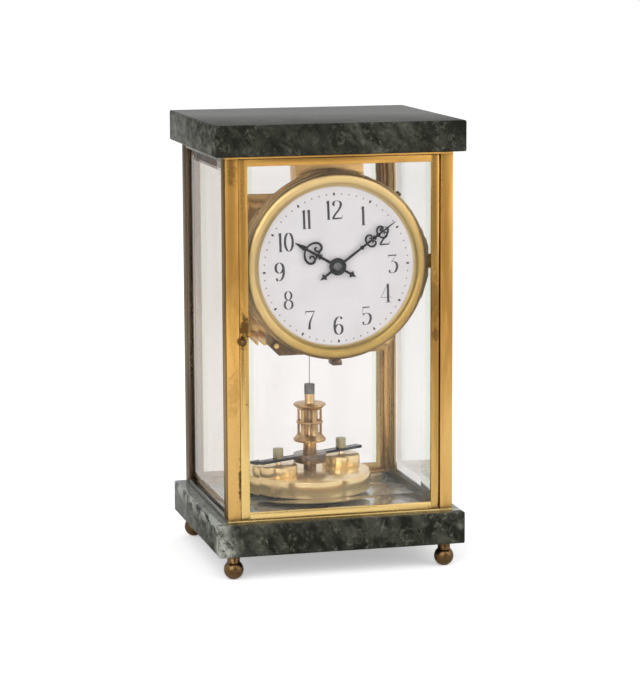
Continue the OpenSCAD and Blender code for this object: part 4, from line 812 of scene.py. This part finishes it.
# Hands: pierced and filed steel with scrolls and crossed tails, blued almost to black; the hour hand
# is pressed on its wheel, the minute hand on its arbor under a round collet.
MINUTE_DEG, MINUTE_LEN = 54, 46.0
HOUR_DEG, HOUR_LEN = 300, 31.0
BOSS_R, HAND_T = 5.5, 0.6
HAND_BLACK, HAND_RUBBED = (0.004, 0.004, 0.006, 1), (0.025, 0.025, 0.028, 1)


def blued(where):
    rub = where.noise(240, 5, 0.65)
    return {"Base Color": rub.above(0.45, 0.75).blend(HAND_BLACK, HAND_RUBBED), "Metallic": 0.4,
            "Roughness": 0.3 + 0.2 * rub, "Specular IOR Level": 0.2}


def both_sides(right):
    """An outline from its right half, which runs from the hand's root to its tip."""
    return [(-x, z) for x, z in right] + [(x, z) for x, z in reversed(right) if x]


def hand_blank(node, clockwise, boss_r):
    """The boss and the crossed tail that both hands have."""
    _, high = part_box(node)
    front = high.y * 1000 - HAND_T
    hand = FlatWork(lambda r: front, lambda r: front + HAND_T, clockwise)
    hand.fill(oval(0, 0, boss_r, boss_r, 64)[:-1])
    hand.fill(both_sides([(0.8, 1 - BOSS_R), (0.7, -BOSS_R - 4.0), (2.3, -BOSS_R - 5.0), (0.9, -BOSS_R - 6.3),
                          (0, -BOSS_R - 8.6)]))
    return hand


def scrolls(hand, points, widths):
    """The same filed scroll on both sides of the hand."""
    for side in (-1, 1):
        hand.stroke(*brush([(side * x, y) for x, y in points], *widths))


black_hands = new_finish("black_hands", blued)
hour_hand = hand_blank("hour_hand", HOUR_DEG, BOSS_R - 0.4)
hour_hand.fill(both_sides([(0.95, 4), (0.75, 22), (1.6, 24.4), (0.3, HOUR_LEN)]))
hour_hand.fill([(-2.1, 12.2), (-0.9, 13.2), (-2.1, 13.4), (0, 14.2), (2.1, 13.4), (0.9, 13.2), (2.1, 12.2),
                (0, 11.4)])
scrolls(hour_hand, [(0, 23.2), (2.9, 22.6), (5.8, 20.4), (6.9, 17.4), (5.6, 14.9), (3.1, 14.8), (1.9, 16.7),
                    (2.9, 18.4), (4.2, 17.7)], (0.8, 1.35, 1.5, 1.15, 0.95))
scrolls(hour_hand, [(0, 15.4), (1.3, 14.6), (3.1, 14.8)], (0.9, 0.95))
place(hour_hand.mesh("hour_hand_finished"), "hour_hand_finished", black_hands, "hour_arbor",
      "hour_hand", sharp=40)

minute_hand = hand_blank("minute_hand", MINUTE_DEG, BOSS_R)
minute_hand.fill(both_sides([(0.85, 4), (0.5, MINUTE_LEN - 7), (0.2, MINUTE_LEN)]))
for knot in (19.4, 29.6, 32.4):
    minute_hand.fill([(-1.6, knot), (0, knot + 2.0), (1.6, knot), (0, knot - 2.0)])
for root in (23.6, 32.6):
    scrolls(minute_hand, [(0, root), (2.2, root + 0.3), (3.7, root + 1.9), (3.6, root + 4.0),
                          (2.2, root + 5.0), (1.1, root + 4.0), (1.9, root + 3.0)], (0.8, 1.3, 1.0, 0.8))
place(minute_hand.mesh("minute_hand_finished"), "minute_hand_finished", black_hands, "minute_arbor",
      "minute_hand", sharp=40)

COLLET_R = 2.6
COLLET_TONES = (0.17, 0.17, 0.175), (0.06, 0.06, 0.065), (0.02, 0.02, 0.022)
minute_low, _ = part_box("minute_hand")
collet_profile = [(0, 0.5), (1.3, 0.42), (2.2, 0.2), (COLLET_R, -0.2), (COLLET_R, -0.9), (0, -0.9)]
collet_mesh = lathe(collet_profile, (0, minute_low.y * 1000, DIAL_Z), "-Y", 48, closed=False)
rubbed_steel = aged_brass("rubbed_steel", COLLET_TONES, streak=EVEN, wear=0.8, rough=0.34, speck=0.55)
place(collet_mesh, "hand_collet", rubbed_steel, "minute_arbor", sharp=40)


# Movement: two brass plates on four pillars with a hanger to the top slab, and cocks for the anchor
# and the suspension; rolled sheet, lacquered, a little brown.
PLATE_EDGE = 0.15
PLATE_TONES = (0.9, 0.6, 0.22), (0.6, 0.36, 0.12), (0.2, 0.11, 0.04)
FRONT_TONES = (0.5, 0.32, 0.12), (0.27, 0.16, 0.06), (0.075, 0.045, 0.024)
HANGER_TONES = (0.82, 0.53, 0.2), (0.56, 0.33, 0.11), (0.2, 0.1, 0.035)
LOWER_TARNISH = (-0.045, -0.03, 0.142), (16, 8, 42), 0.8
plate_brass = aged_brass("plate_brass", PLATE_TONES, streak=(0.2, 1, 1.3), wear=0.45, rough=0.34, metal=0.75)
front_brass = aged_brass("front_brass", FRONT_TONES, streak=EVEN, wear=0.7, rough=0.34,
                         dark_patches=(LOWER_TARNISH,))
hanger_brass = aged_brass("hanger_brass", HANGER_TONES, streak=(0.3, 1, 1), wear=0.6, rough=0.3, metal=0.85)
dress(["back_plate", "anchor_cock", "suspension_cock", "suspension_block", "plate_pillars", "guide_cup"],
      plate_brass, PLATE_EDGE)
dress(["front_plate", "plate_nuts"], front_brass, PLATE_EDGE)
dress(["top_hanger"], hanger_brass, PLATE_EDGE)


# Going train and motion work: wheels cut from brass sheet, pinions and arbors turned, the barrel a
# toothed drum with a snapped-in cap; spring, winding arbor, click and anchor are steel.
WHEEL_TONES = (0.72, 0.5, 0.19), (0.48, 0.3, 0.1), (0.2, 0.11, 0.04)
wheel_brass = aged_brass("wheel_brass", WHEEL_TONES, streak=EVEN, wear=0.45, rough=0.22, speck=0.72)
dress(["barrel", "barrel_cap", "second_wheel", "third_wheel", "centre_wheel", "cannon_pinion",
       "minute_wheel", "hour_wheel", "escape_wheel", "fork"], wheel_brass)
dress(["mainspring", "winding_arbor", "click", "anchor"], bare_steel)


# Pendulum: a thin wire, a knurled steel clamp, a pierced brass crown on its shaft, a dark steel bar
# with two small brass drums and their nuts, all over one heavy polished brass disc.
CLAMP_TONES = (0.22, 0.22, 0.215), (0.11, 0.11, 0.105), (0.04, 0.04, 0.04)
CROWN_TONES = (0.66, 0.46, 0.24), (0.42, 0.25, 0.11), (0.15, 0.085, 0.04)
DISC_TONES = (1.0, 0.78, 0.42), (0.82, 0.57, 0.25), (0.34, 0.2, 0.08)
NUT_TONES = (0.46, 0.43, 0.27), (0.28, 0.26, 0.16), (0.1, 0.09, 0.06)
BAR_BLACK, BAR_RUBBED = (0.03, 0.03, 0.035, 1), (0.075, 0.072, 0.075, 1)
HUB_BROWN, HUB_RUBBED = (0.12, 0.088, 0.07, 1), (0.24, 0.18, 0.13, 1)
disc_low, disc_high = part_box("pendulum_disc")
swing_at = (disc_low + disc_high) / 2


def polished_black(where):
    rub = where.noise(160, 5, 0.65)
    hub = where.away(swing_at, (1, 1, 0)).above(0.0135, 0.0115)
    tone = rub.above(0.4, 0.75).blend(BAR_BLACK, BAR_RUBBED)
    tone = hub.blend(tone, rub.above(0.35, 0.7).blend(HUB_BROWN, HUB_RUBBED))
    return {"Base Color": tone, "Metallic": 0.9, "Roughness": 0.14 + 0.14 * rub}


clamp_steel = aged_brass("clamp_steel", CLAMP_TONES, streak=EVEN, wear=0.5, rough=0.32)
crown_brass = aged_brass("crown_brass", CROWN_TONES, streak=EVEN, wear=0.5, rough=0.27)
bar_black = new_finish("bar_black", polished_black)
disc_brass = aged_brass("disc_brass", DISC_TONES, streak=EVEN, wear=0.4, rough=0.1, speck=0.74, metal=0.6)
nut_brass = aged_brass("nut_brass", NUT_TONES, streak=EVEN, wear=0.6, rough=0.3, metal=0.8)
dress(["suspension_wire", "pendulum_clamp"], clamp_steel)
dress(["pendulum_crown"], crown_brass, PLATE_EDGE)
dress(["pendulum_bar"], bar_black, PLATE_EDGE)
dress(["pendulum_disc", "pendulum_drums"], disc_brass, PLATE_EDGE)
dress(["thumb_nut_left", "thumb_nut_right"], nut_brass, PLATE_EDGE)
